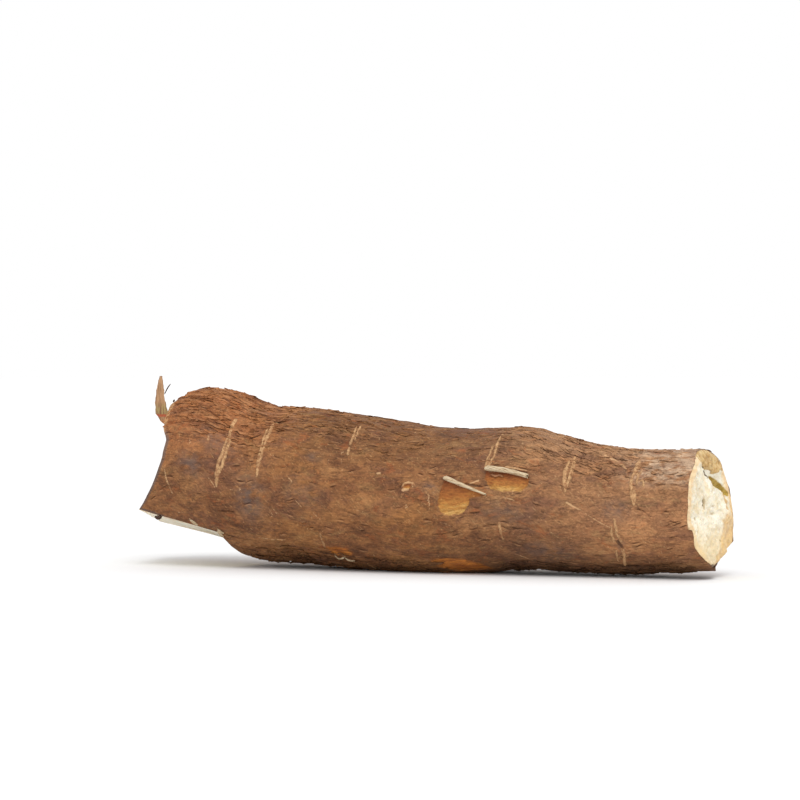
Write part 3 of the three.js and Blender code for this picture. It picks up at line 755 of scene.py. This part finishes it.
def drawn_in(ring, inset, deeper):
    """A ring `inset` nearer its axis and `deeper` along X."""
    radial = ring - ring.mean(axis=0)
    radial[:, 0] = 0
    return ring - unit(radial) * inset + (deeper, 0, 0)


def build_skin(material):
    angles = column_angles(COLUMNS)
    start, end = ragged_edges(angles)
    station = mix(start, end, np.linspace(0, 1, ROWS + 1)[:, None])
    angle = np.broadcast_to(angles, station.shape)
    fields, relief = skin_fields(station, angle, station - start)
    away = np.minimum(station - start, end - station)
    rows = skin(station, angle, relief * smooth_step(0, 1.5, away))
    normals = surface_normals(rows)
    turned_in = {
        0: [drawn_in(rows[0], SKIN_THICKNESS, deeper) for deeper in HACKED_TURN],
        ROWS: [drawn_in(rows[-1], SKIN_THICKNESS, deeper) for deeper in SNAPPED_TURN],
    }
    for number, name in enumerate(BARRELS):
        low, high = (ROWS * k // len(BARRELS) for k in (number, number + 1))
        head, tail = turned_in.get(low, []), turned_in.get(high, [])
        rings = np.array([*head, *rows[low : high + 1], *tail])
        facing = [np.full((len(extra), COLUMNS, 3), (x, 0.0, 0.0)) for extra, x in ((head, -1), (tail, 1))]
        shading = np.concatenate([facing[0], normals[low : high + 1], facing[1]]).reshape(-1, 3)
        first_x = rows[0, :, 0].min() + HACKED_POLE if head else rows[low, :, 0].max() + POLE_INSIDE
        last_x = rows[high, :, 0].min() - (SNAPPED_POLE if tail else POLE_INSIDE)
        points, faces = closed_rings(rings, (first_x, 0, POLE_HEIGHT), (last_x, 0, POLE_HEIGHT))
        source = [low] * len(head) + list(range(low, high + 1)) + [high] * len(tail)
        attributes = {key: np.append(values[source], (0, 0)) for key, values in fields.items()}
        shading = np.append(shading, [(-1, 0, 0), (1, 0, 0)], axis=0)
        mesh_object(name, points, faces, material, attributes, shading)


# ---- The flesh of the two end faces ----


def face_points(rim, pole, face, relief, rings):
    """(rings of points from near the rim to near the pole, their distance from the rim)."""
    reach = np.hypot(rim[:, 1] - pole[0], rim[:, 2] - pole[1])
    first = 0.35 / reach.mean()
    inward = np.linspace(first, 1, rings, endpoint=False)[:, None] + 0 * reach[None, :]
    y, z = mix(rim[None, :, 1], pole[0], inward), mix(rim[None, :, 2], pole[1], inward)
    return np.stack([face(y, z) + relief(y, z, inward), y, z], -1), inward * reach


def build_flesh(name, face, relief, span, edge, sunken, pole, into, fields):
    """A plug of flesh that fills an end of the skin. `into` is +1 where the body lies towards +X.

    At the foot the flesh stands `sunken` millimetres behind the skin's edge.
    """
    angles = column_angles(FACE_COLUMNS)
    rim = skin(rim_station(face, angles, span), angles)
    rings, depth = face_points(rim, pole, face, relief, FACE_RINGS)
    offset = np.mean([edge_offset(edge, angles + turn) for turn in (-8, -4, 0, 4, 8)], axis=0)
    offset -= sunken * bump(turn_between(angles, -92), 26)
    rings[..., 0] += offset * np.clip(1 - np.linspace(0, 1, FACE_RINGS) / 0.7, 0, 1)[:, None]
    rings[0, :, 0] += 0.5 * into
    rings[1, :, 0] += 0.1 * into
    middle = np.array(pole)[:, None]
    tip = (float(face(*middle)[0] + relief(*middle, np.ones(1))[0]), *pole)
    back = (tip[0] + FLESH_REACH * into, *pole)
    order = slice(None, None, -1) if into > 0 else slice(None)
    tube = np.concatenate([drawn_in(rings[0], 0.6, 4.0 * into)[None], rings])[order]
    values = {"depth": depth, **{key: field(rings[..., 1], rings[..., 2]) for key, field in fields.items()}}
    attributes = {}
    for key, value in values.items():
        around = np.zeros((1, FACE_COLUMNS))
        at_poles = [FLESH_DEPTH if key == "depth" else 0.0] * 2
        attributes[key] = np.append(np.concatenate([around, value])[order], at_poles)
    points, faces = closed_rings(tube, *(back, tip)[order])
    mesh_object(name, points, faces, flesh_material(name, bool(fields)), attributes)


# ---- Skin that has torn loose ----


def resampled(table, count):
    """Rows of a table spread evenly over `count` rows, and their share of the way, 0 to 1."""
    fine, knots = np.linspace(0, 1, count), np.linspace(0, 1, len(table))
    return np.stack([np.interp(fine, knots, column) for column in table.T], -1), fine


def fibre_grid(points, width, rows=12, columns=4):
    """A ribbon through points, facing the front, that narrows towards both ends."""
    path, fine = resampled(skin(*np.array(points, float).T), rows)
    across = unit(np.cross(np.gradient(path, axis=0), (0.0, 1.0, 0.0)))
    half = width / 2 * (np.sqrt(np.clip(1.05 - (2 * fine - 1) ** 2, 0, 1)) + 0.1 * np.sin(fine * 29))
    side = np.linspace(-1, 1, columns)
    return (path[:, None] + (half[:, None] * side[None])[..., None] * across[:, None])[None]


def build_fibres(materials):
    for name, fibres in FIBRES.items():
        points, faces = np.empty((0, 3)), []
        for path, width, thickness in fibres:
            more_points, more_faces = sheets(fibre_grid(path, width), thickness)
            faces += (np.array(more_faces) + len(points)).tolist()
            points = np.concatenate([points, more_points])
        mesh_object(name, points, faces, materials[name])


def strip_grid(rows=30, columns=9):
    table, fine = resampled(STRIP, rows)
    s, y, z, width = table.T[:, :, None]
    ragged = 0.25 * np.sin(fine * 37) + 0.2 * np.sin(fine * 71 + 1)
    ragged = ragged * smooth_step(0, 0.2, fine) * smooth_step(1, 0.85, fine)
    across = np.linspace(-0.5, 0.5, columns)[None]
    shift = across * (width * 0.94 + ragged[:, None])
    return np.stack([s + shift, y + shift * 0.2 + (across**2 - 0.25) * 1.2, z + 0 * shift], -1)[None]


def roll_grid(roll, along_steps=48, round_steps=34, turns=1.7):
    """A scroll of skin: its free edge is rolled inwards, its width tapers and its ends are ragged."""
    (s0, a0), (s1, a1) = roll["from"], roll["to"]
    t = np.linspace(0, 1, along_steps)
    station, angle = mix(s0, s1, t), mix(a0, a1, t)
    centre = skin(station, angle)
    out = outwards(angle)
    run = unit(np.gradient(centre, axis=0))
    across = np.cross(out, run)
    radius = mix(roll["radii"][0], roll["radii"][1], t) * (1 + 0.06 * np.sin(t * 23 + s0))
    turn = np.linspace(-0.6, 2 * np.pi * turns, round_steps)
    shrink = np.linspace(1, 0.35, round_steps)
    centre = centre + out * (radius * 0.55)[:, None]
    spiral = across[:, None] * np.cos(turn)[None, :, None] + out[:, None] * np.sin(turn)[None, :, None]
    ends = 0.5 * np.sin(turn * 2.3)[None, :, None] * run[:, None] * (np.abs(2 * t - 1) ** 8)[:, None, None]
    return (centre[:, None] + spiral * (radius[:, None] * shrink[None])[..., None] + ends)[None]


def flake_grids(places, rng, length, width, lift, rows=9, columns=5):
    """Loose slivers of bark that lie along the root, rooted along one side and lifted at the other."""
    count = len(places)
    station, angle = places[:, 0], places[:, 1]
    size = rng.uniform(0.55, 1.3, count)
    u = np.linspace(-1, 1, rows)[None, :, None]
    v = np.linspace(-1, 1, columns)[None, None, :]

    def each(values):
        return np.asarray(values)[:, None, None]

    long = each(length / 2 * size * rng.uniform(0.7, 1.3, count))
    wide = each(width / 2 * rng.uniform(0.6, 1.3, count))
    taper = np.sqrt(np.clip(1.04 - np.abs(u) ** each(rng.uniform(1.4, 3.5, count)), 0.02, 1))
    wave = 0.3 * np.sin(u * each(rng.uniform(2, 6, count)) + each(rng.uniform(0, 6, count)))
    slant = each(rng.normal(0, 0.09, count) - 0.25 * bump(station - 70, 22))
    s = each(station) + u * long + 0.2 * v * wide
    arc = each(np.radians(along(station, RADIUS)))
    a = each(angle) + (v * wide * taper + wave + slant * u * long) / arc
    side = each(rng.choice([-1, 1], count, p=[0.45, 0.55]))
    tail = each(rng.choice([-1, 0, 1], count))
    rise = each(lift * rng.uniform(0.3, 1.25, count))
    up = rise * (smooth_step(-1.1, 1.2, side * v) + 0.9 * smooth_step(0.2, 1.1, tail * u)) - 0.1
    grids = skin(s, a, up + 0.12)
    grids[..., 2] = np.maximum(grids[..., 2], FLAKE_THICKNESS)
    return grids


def scattered(rng, count, stations, angles, evenly):
    """Places on the skin, spread evenly or mostly where the bark is cracked."""
    places = []
    while len(places) < count:
        s, a = rng.uniform(*stations), rng.uniform(*angles)
        if rng.random() < (1.0 if evenly else roughness(s, a) ** 2):
            places.append((s, a))
    return np.array(places)


def build_flakes(pale, dark):
    rng = np.random.default_rng(SEED + 70)
    for name, count, stations, angles, *size in FLAKES:
        belly = "belly" in name
        grids = flake_grids(scattered(rng, count, stations, angles, belly), rng, *size)
        # The belly's flakes take the darker copy, whose darkening is painted shade.
        mesh_object(name, *sheets(grids, FLAKE_THICKNESS), dark if belly else pale)


# ---- Materials ----


def linear(*colour):
    """Blender's linear colour from an sRGB one of 0 to 255. Four numbers are a linear colour already."""
    if len(colour) == 4:
        return colour
    channels = np.array(colour) / 255
    low, high = channels / 12.92, ((channels + 0.055) / 1.055) ** 2.4
    return (*np.where(channels <= 0.04045, low, high).tolist(), 1.0)


class Shader:
    """A material whose nodes are added by short calls, most of which give an output socket.

    `colour` is the surface's colour so far.
    """

    def __init__(self, name, roughness, specular):
        self.material = bpy.data.materials.new(name)
        self.material.use_nodes = True
        self.tree = self.material.node_tree
        self.surface = self.tree.nodes["Principled BSDF"]
        self.surface.inputs["Roughness"].default_value = roughness
        self.surface.inputs["Specular IOR Level"].default_value = specular
        self.place = self.node("TexCoord", {}).outputs["Object"]
        self.x, self.y, self.z = self.node("SeparateXYZ", {0: self.place}).outputs

    def node(self, kind, inputs, **settings):
        node = self.tree.nodes.new("ShaderNode" + kind)
        for key, value in settings.items():
            setattr(node, key, value)
        for key, value in inputs.items():
            if isinstance(value, bpy.types.NodeSocket):
                self.tree.links.new(value, node.inputs[key])
            else:
                node.inputs[key].default_value = value
        return node

    def attribute(self, name):
        return self.node("Attribute", {}, attribute_name=name).outputs["Fac"]

    def math(self, operation, *values):
        return self.node("Math", dict(enumerate(values)), operation=operation).outputs["Value"]

    def times(self, first, *others):
        for other in others:
            first = self.math("MULTIPLY", first, other)
        return first

    def swing(self, noise, width):
        """A noise as a swing about 0."""
        return self.times(self.math("SUBTRACT", noise, 0.5), width)

    def inside(self, name, ragged):
        """How deep inside a mark, in millimetres and with a ragged edge; negative outside."""
        return self.math("ADD", self.math("SUBTRACT", self.attribute(name), FAR), ragged)

    def stretched(self, run, across, lean=0.0, up=None):
        """Object coordinates counted in features that are `run` mm long and `across` mm wide.

        The features run along X, or lean down towards +X by `lean` degrees. `up` is their height, which
        is `across` as a rule.
        """
        size = np.array((run, across, up or across)) * MM
        inputs = {"Vector": self.place, "Scale": (size if lean else 1 / size).tolist()}
        inputs["Rotation"] = (0, math.radians(lean), 0)
        return self.node("Mapping", inputs, vector_type="TEXTURE" if lean else "POINT").outputs["Vector"]

    def noise(self, run, across, detail=3.0, rough=0.55, distortion=0.0, lean=0.0, up=None):
        inputs = {"Vector": self.stretched(run, across, lean, up), "Scale": 1.0, "Detail": detail}
        inputs.update({"Roughness": rough, "Distortion": distortion})
        return self.node("TexNoise", inputs).outputs["Fac"]

    def step(self, value, low, high):
        """0 below low, 1 above high, smooth between; low may be above high."""
        inputs = {"Value": value, "From Min": min(low, high), "From Max": max(low, high)}
        inputs.update({"To Min": float(low > high), "To Max": float(low <= high)})
        return self.node("MapRange", inputs, interpolation_type="SMOOTHSTEP").outputs["Result"]

    def lines(self, field, width, gate):
        """0 to 1 along the middle contour of a noise, where the gate is open."""
        side = self.math("ABSOLUTE", self.math("SUBTRACT", field, 0.5))
        return self.times(self.step(side, width, width * 0.2), gate)

    def ramp(self, factor, *stops):
        """A colour from stops of (position, red, green, blue)."""
        node = self.node("ValToRGB", {"Fac": factor})
        elements = node.color_ramp.elements
        while len(elements) < len(stops):
            elements.new(0.5)
        for element, (position, *colour) in zip(elements, stops):
            element.position = position
            element.color = linear(*colour)
        return node.outputs["Color"]

    def coat(self, factor, strength, *colour, mode="MIX"):
        """Blend the colour with another, given as a socket or in numbers."""
        over = colour[0] if len(colour) == 1 else linear(*colour)
        inputs = {0: self.times(factor, strength), 6: self.colour, 7: over}
        self.colour = self.node("Mix", inputs, data_type="RGBA", blend_type=mode).outputs[2]

    def shade(self, factor, low, high):
        """Multiply the colour by a grey from `low` at factor 0 to `high` at factor 1."""
        inputs = {0: self.colour, "Scale": self.math("MULTIPLY_ADD", factor, high - low, low)}
        self.colour = self.node("VectorMath", inputs, operation="SCALE").outputs["Vector"]

    def finish(self, height=None, height_mm=0.5, strength=1.0):
        self.tree.links.new(self.colour, self.surface.inputs["Base Color"])
        if height is not None:
            inputs = {"Strength": strength, "Distance": height_mm * MM, "Height": height}
            self.tree.links.new(self.node("Bump", inputs).outputs["Normal"], self.surface.inputs["Normal"])
        return self.material


def bark_base(s):
    """Colour the bark without its marks, painted shade included. Gives its height."""
    x, z = s.x, s.z
    blotch = s.noise(15, 9, 4.0, 0.6, 0.7)
    s.colour = s.ramp(
        blotch, (0.28, 96, 62, 40), (0.43, 124, 82, 52), (0.55, 141, 97, 61), (0.70, 160, 115, 75)
    )

    # The neck is rust red above, the middle golden, the snapped end pinkish and paler above.
    s.coat(s.times(s.step(x, -0.045, -0.085), s.step(z, 0.042, 0.068)), 0.5, 170, 108, 66)
    patchy = s.step(s.noise(30, 16, 3.0, 0.55, 0.4), 0.42, 0.6)
    s.coat(s.times(s.step(x, -0.075, -0.04), s.step(x, 0.045, 0.01), patchy), 0.45, 154, 106, 60)
    s.coat(s.times(s.step(x, 0.045, 0.09), s.step(z, 0.0, 0.035)), 0.5, 164, 118, 82)
    s.coat(s.times(s.step(x, 0.03, 0.09), s.step(z, 0.048, 0.060)), 0.45, 184, 146, 108)
    broken = s.step(s.noise(7, 3, 3.0, 0.6), 0.36, 0.56)
    s.coat(s.times(s.step(x, 0.098, 0.122), s.step(z, 0.039, 0.047), broken), 0.6, 206, 180, 152)
    # Painted shadow: the top of the middle is darkened, as if shaded by something lying above it.
    s.shade(s.times(s.step(x, -0.060, -0.034), s.step(x, 0.06, 0.03), s.step(z, 0.042, 0.058)), 1.0, 0.70)

    s.coat(s.step(s.noise(22, 11, 3.0, 0.6, 0.9), 0.50, 0.66), 0.5, 110, 73, 56)
    s.coat(s.step(s.noise(13, 6, 3.0, 0.6, 0.8), 0.56, 0.70), 0.45, 142, 110, 72)
    s.coat(s.step(s.noise(9, 5, 3.0, 0.6, 1.0), 0.57, 0.70), 0.45, 150, 84, 44)

    mottle = s.noise(3.6, 2.2, 4.0, 0.68, 1.4)
    s.shade(s.step(mottle, 0.32, 0.68), 0.72, 1.22)
    streak = s.noise(6.5, 1.0, 4.0, 0.6, 1.2)
    s.shade(s.step(streak, 0.34, 0.66), 0.88, 1.10)
    s.coat(s.step(s.noise(3.2, 0.6, 2.0, 0.5, 0.4, lean=48), 0.58, 0.74), 0.36, 198, 156, 110)
    s.coat(s.step(s.noise(2.6, 0.6, 2.0, 0.5, 0.4, lean=-35), 0.60, 0.74), 0.3, 78, 50, 36)
    grain = s.noise(0.8, 0.8, 2.0, 0.6)
    s.shade(s.step(grain, 0.3, 0.7), 0.93, 1.06)

    # Towards the hacked end the bark is warmer.
    s.coat(s.step(x, 0.06, 0.0), 1.0, 1.0, 0.945, 0.85, 1.0, mode="MULTIPLY")

    # Thin wavy cracks: dark lines on the contours of stretched noise.
    fine = s.lines(s.noise(6.5, 1.9, 2.0, 0.5, 1.1), 0.034, s.step(s.noise(8, 5, 2.0), 0.44, 0.56))
    longer = s.lines(s.noise(15, 4.2, 2.0, 0.5, 0.8), 0.014, s.step(s.noise(12, 7, 2.0), 0.5, 0.62))
    lines = s.math("MAXIMUM", s.times(fine, 0.6), s.times(longer, 0.8))
    s.coat(lines, 0.62, 76, 44, 30)

    # Painted shade darkens the belly, mostly towards the snapped end.
    tipwards = s.math("MULTIPLY_ADD", s.step(x, 0.0, 0.04), 0.7, 0.3)
    s.shade(s.times(s.step(z, 0.018, 0.001), tipwards), 1.0, 0.64)
    # A band low on the side near the snapped end is made lighter.
    s.shade(s.times(s.step(x, 0.07, 0.11), s.step(z, 0.004, 0.012), s.step(z, 0.036, 0.024)), 1.0, 1.33)
    height = s.times(streak, 0.55)
    for layer, weight in ((mottle, 0.5), (grain, 0.14), (lines, -0.5)):
        height = s.math("MULTIPLY_ADD", layer, weight, height)
    return height


def bark_material():
    s = Shader("bark", 0.66, 0.22)
    height = bark_base(s)
    s.coat(s.times(s.attribute("stain"), s.step(s.noise(5, 3, 3.0), 0.28, 0.62)), 0.72, 94, 82, 78)
    s.coat(s.times(s.attribute("tan_edge"), s.step(s.noise(1.5, 1.5, 3.0), 0.3, 0.5)), 0.7, 206, 160, 112)
    s.coat(s.attribute("dark_edge"), 0.75, 96, 82, 76)
    # Painted highlight: the raised lips of the fine cracks are coloured paler, as if catching the light.
    s.coat(s.step(s.attribute("lip"), 0.2, 0.7), 0.45, 196, 146, 102)
    crack = s.step(s.attribute("crack"), 0.2, 0.75)
    s.coat(crack, 0.62, 72, 40, 27)

    # Bare patches: orange under the roll, golden further down, crossed by red-brown threads.
    bark = s.colour
    uneven = s.swing(s.noise(3.5, 1.2, 4.0, 0.6, 0.5), 0.9)
    tone = s.math("ADD", s.attribute("bare_tone"), uneven)
    # Darker towards the head, under the roll: partly the cortex's own colour, partly painted shade of the
    # roll.
    s.colour = s.ramp(
        tone, (0.02, 196, 152, 88), (0.22, 178, 126, 62), (0.50, 156, 96, 44), (0.92, 124, 66, 30)
    )
    deep = s.attribute("bare_deep")
    s.coat(deep, 1.0, s.ramp(s.noise(6, 1.5, 3.0), (0.3, 160, 92, 40), (0.62, 226, 142, 60)))
    threads = s.lines(s.noise(7, 1.3, 3.0, 0.6, 0.8), 0.035, s.step(s.noise(5, 3, 2.0), 0.4, 0.55))
    s.coat(threads, 0.5, 112, 58, 26)
    s.shade(s.step(s.noise(2.4, 1.0, 4.0, 0.65, 0.6), 0.3, 0.68), 0.72, 1.14)
    under, s.colour = s.colour, bark
    depth = s.inside("bare", s.swing(s.noise(2.2, 1.1, 3.0), 2.1))
    bare = s.step(s.math("DIVIDE", depth, s.math("MULTIPLY_ADD", deep, 1.2, 0.4)), -1.0, 1.0)
    s.coat(bare, s.math("MULTIPLY_ADD", deep, -0.25, 1.0), under)

    # Pale scratches, and corky scars with grainy edges.
    grit = s.noise(0.7, 0.9, 2.0, 0.6)
    rub = s.swing(grit, 0.8)
    s.coat(s.step(s.inside("scratch", rub), -0.12, 0.16), 0.72, 206, 164, 120)
    scar = s.step(s.inside("scar", s.swing(s.noise(0.8, 1.3, 3.0, 0.65), 1.3)), -0.32, 0.16)
    s.coat(scar, 0.8, s.ramp(s.noise(1.0, 1.3, 3.0, 0.65), (0.34, 150, 102, 66), (0.62, 210, 168, 120)))
    cut = s.step(s.inside("cut", s.times(rub, 0.8)), -0.15, 0.35)
    s.coat(cut, 0.65, 60, 36, 26)

    height = s.times(height, s.math("SUBTRACT", 1.0, s.times(bare, 0.7)))
    height = s.math("MULTIPLY_ADD", crack, -0.5, height)
    height = s.math("MULTIPLY_ADD", scar, s.math("MULTIPLY_ADD", grit, 0.8, 0.1), height)
    height = s.math("MULTIPLY_ADD", cut, -0.7, height)
    return s.finish(height, 0.5, 0.8)


def flake_material(name, paleness, brightness):
    s = Shader(name, 0.7, 0.2)
    height = bark_base(s)
    s.coat(s.step(s.noise(9, 2.5, 2.0), 0.48, 0.6), paleness, 196, 142, 98)
    # A brightness below 1 is painted shade.
    s.shade(1.0, 0.0, brightness)
    return s.finish(height, 0.4, 0.7)


def roll_material():
    """The peeled skin shows its inner side: greyish tan, streaked lengthwise."""
    s = Shader("bark_inner", 0.6, 0.25)
    streak = s.noise(5, 0.5, 4.0, 0.65, 0.2, lean=12)
    s.colour = s.ramp(streak, (0.30, 126, 98, 68), (0.46, 184, 160, 126), (0.64, 212, 196, 166))
    s.shade(s.noise(1.0, 1.0, 2.0), 0.85, 1.12)
    return s.finish(streak, 0.3, 0.7)


def dark_fibre_material():
    s = Shader("bark_dark_fibre", 0.75, 0.15)
    streak = s.noise(3, 0.6, 3.0, 0.6)
    s.colour = s.ramp(streak, (0.3, 48, 34, 28), (0.65, 92, 70, 58))
    return s.finish(streak, 0.3, 0.7)


def strip_material():
    """The torn strip: tan and fibrous, greenish near its foot, creased red where it bends."""
    s = Shader("bark_strip", 0.7, 0.2)
    pitch = 1 / 1.1
    upright = s.noise(pitch, pitch, 2.0, 0.5, up=10 * pitch)
    s.colour = s.ramp(upright, (0.34, 122, 88, 62), (0.60, 178, 138, 102))
    green = s.times(s.step(s.z, 0.077, 0.0735), s.step(s.z, 0.0695, 0.0715), s.step(upright, 0.4, 0.55))
    s.coat(green, 0.5, 152, 148, 88)
    s.coat(s.times(s.step(s.z, 0.0713, 0.0707), s.step(s.z, 0.0695, 0.0701)), 0.75, 176, 78, 50)
    s.coat(s.step(s.z, 0.0685, 0.0680), 0.6, 190, 128, 84)
    return s.finish(s.math("ADD", s.noise(0.5, 6, 3.0, 0.6), upright), 0.4, 0.7)


def flesh_material(name, snapped):
    """Starchy flesh: a peach rind at the rim, then white, with spots and fibres."""
    s = Shader(name, 0.55, 0.3)
    s.surface.inputs["Subsurface Weight"].default_value = 0.12
    s.surface.inputs["Subsurface Radius"].default_value = (0.9, 0.6, 0.35)
    s.surface.inputs["Subsurface Scale"].default_value = 2.0 * MM
    depth = s.math("ADD", s.attribute("depth"), s.swing(s.noise(3, 3, 3.0), 1.8))
    cloud = s.noise(8, 7, 4.0, 0.6, 0.4)
    grit = s.noise(1.2, 1.0, 4.0, 0.7)
    s.colour = s.ramp(cloud, (0.32, 214, 198, 166), (0.46, 228, 218, 194), (0.60, 238, 233, 216))
    s.coat(s.step(grit, 0.50, 0.34), 0.4, 214, 190, 146)
    s.coat(s.step(s.noise(14, 7, 2.0), 0.52, 0.70), 0.5, 232, 204, 152)
    rind = s.ramp(s.noise(2.6, 2, 3.0), (0.35, 220, 186, 140), (0.65, 237, 213, 172))
    s.coat(s.step(depth, 4.6, 2.6), 1.0, rind)
    s.coat(s.step(depth, 0.8, 0.2), 0.35, 176, 128, 84)
    cells = s.node("TexVoronoi", {"Vector": s.stretched(2.6, 2.6), "Scale": 1.0}).outputs["Distance"]
    s.coat(s.times(s.step(cells, 0.17, 0.08), s.step(s.noise(6, 6, 1.0), 0.56, 0.64)), 0.5, 168, 134, 88)
    if snapped:
        colour_snapped_flesh(s, grit, cloud)
    return s.finish(s.math("MULTIPLY_ADD", grit, 0.7, s.times(cloud, 0.6)), 0.5, 0.6)


def colour_snapped_flesh(s, grit, cloud):
    """The cream foot, the golden facet and rear rim, the bark's lip below, the knob, pits and splits."""
    s.coat(s.step(s.math("MULTIPLY_ADD", grit, 0.010, s.z), 0.034, 0.016), 0.55, 226, 200, 148)
    tan = s.ramp(s.noise(4, 3, 3.0, 0.6), (0.35, 192, 146, 82), (0.65, 226, 188, 122))
    s.coat(s.attribute("facet"), 0.7, tan)
    s.coat(s.step(s.math("MULTIPLY_ADD", cloud, 0.008, s.y), 0.025, 0.029), 0.6, tan)
    s.coat(s.step(s.math("MULTIPLY_ADD", grit, 0.003, s.z), 0.0084, 0.0074), 0.85, 78, 52, 44)
    s.coat(s.step(s.noise(1.8, 1.3, 4.0, 0.7, 0.5), 0.54, 0.64), 0.45, 190, 172, 142)
    knob = s.step(s.math("MULTIPLY_ADD", grit, 0.8, s.attribute("woody")), 0.75, 1.0)
    woody = s.noise(2.6, 2.2, 4.0, 0.65)
    s.coat(knob, 1.0, s.ramp(woody, (0.30, 136, 102, 58), (0.42, 182, 146, 92), (0.60, 206, 178, 126)))
    pit = s.attribute("pit")
    s.coat(s.step(pit, 0.2, 0.8), 0.75, 186, 162, 118)
    s.coat(s.step(pit, 0.9, 2.0), 0.9, 92, 74, 50)
    s.coat(s.step(s.attribute("seam"), 0.05, 0.7), 0.8, 194, 150, 82)
    rot = s.ramp(s.noise(3, 2, 2.0), (0.35, 158, 128, 44), (0.65, 196, 166, 84))
    s.coat(s.step(s.attribute("split"), 0.02, 0.3), 1.0, rot)
    s.coat(s.step(s.attribute("hairline"), 0.05, 0.4), 1.0, 112, 84, 50)


# ---- The stage ----

SUN_SIZE, SUN_ENERGY = 36, 1.4  # degrees, strength
SUN_FROM = Vector((0.42, -0.6, 1.1))
FLOOR_DARK, FLOOR_PALE = (0.78, 0.78, 0.785, 1.0), (0.8, 0.8, 0.8, 1.0)  # linear colours
FLOOR_RADIUS = 8.0  # metres
VIEW_AZIMUTH, VIEW_ELEVATION = 23.0, 1.0  # degrees
VIEW_DISTANCE, VIEW_WIDTH = 1.5, 0.368  # metres, the width is what the frame spans at the target
VIEW_TARGET = Vector((-0.0082, -0.0016, 0.0781))


def placed(name, data, location, facing):
    """A new object that looks along `facing`."""
    thing = bpy.data.objects.new(name, data)
    thing.location = location
    thing.rotation_euler = facing.to_track_quat("-Z", "Y").to_euler()
    bpy.context.scene.collection.objects.link(thing)
    return thing


def floor_and_light():
    plain = Shader("floor", 0.9, 0.0)
    plain.colour = plain.ramp(plain.noise(400, 400, 2.0), (0.3, *FLOOR_DARK), (0.7, *FLOOR_PALE))
    mesh = bpy.data.meshes.new("floor")
    shape = bmesh.new()
    bmesh.ops.create_circle(shape, cap_ends=True, segments=96, radius=FLOOR_RADIUS)
    shape.to_mesh(mesh)
    shape.free()
    mesh.materials.append(plain.finish())
    floor = bpy.data.objects.new("floor", mesh)
    bpy.context.scene.collection.objects.link(floor)

    world = bpy.data.worlds.new("white_studio")
    bpy.context.scene.world = world
    world.use_nodes = True
    world.node_tree.nodes["Background"].inputs["Color"].default_value = (1, 1, 1, 1)
    world.node_tree.nodes["Background"].inputs["Strength"].default_value = 1.0

    sun = bpy.data.lights.new("soft_sun", "SUN")
    sun.angle = math.radians(SUN_SIZE)
    sun.energy = SUN_ENERGY
    placed("soft_sun", sun, SUN_FROM, -SUN_FROM)


def camera():
    a, e = math.radians(VIEW_AZIMUTH), math.radians(VIEW_ELEVATION)
    back = Vector((math.sin(a) * math.cos(e), -math.cos(a) * math.cos(e), math.sin(e)))
    data = bpy.data.cameras.new("camera")
    data.sensor_width = 36.0
    data.lens = data.sensor_width * VIEW_DISTANCE / VIEW_WIDTH
    data.clip_end = 50
    bpy.context.scene.camera = placed("camera", data, VIEW_TARGET + back * VIEW_DISTANCE, -back)


# ---- Putting it together ----

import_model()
bpy.context.scene.view_settings.view_transform = "Standard"

camera()
floor_and_light()

snapped_fields = {
    "woody": woody_field,
    "facet": facet_field,
    "split": lambda y, z: line_cut(y, z, SPLIT),
    "seam": lambda y, z: line_cut(y, z, SEAM),
    "hairline": lambda y, z: line_cut(y, z, HAIRLINE),
    "pit": pit_field,
}
build_skin(bark_material())
build_flesh(
    "flesh_hacked", hacked_face, hacked_relief, HACKED_SPAN, HACKED_EDGE,
    sunken=0.0, pole=(0.0, CREST_MIDDLE), into=1, fields={},
)
build_flesh(
    "flesh_snapped", snapped_face, snapped_relief, SNAPPED_SPAN, SNAPPED_EDGE,
    sunken=SNAPPED_SUNKEN, pole=(0.0, SNAP["height"]), into=-1, fields=snapped_fields,
)
mesh_object("torn_strip", *sheets(strip_grid(), STRIP_THICKNESS), strip_material())
inner = roll_material()
for roll_name, roll_ends in ROLLS.items():
    mesh_object(roll_name, *sheets(roll_grid(roll_ends), ROLL_THICKNESS), inner)
# The belly's flakes get a copy darkened to 0.72: painted shade.
build_flakes(flake_material("bark_flakes", 0.35, 1.0), flake_material("bark_flakes_dark", 0.1, 0.72))
build_fibres({"fibres_pale": inner, "fibres_dark": dark_fibre_material()})
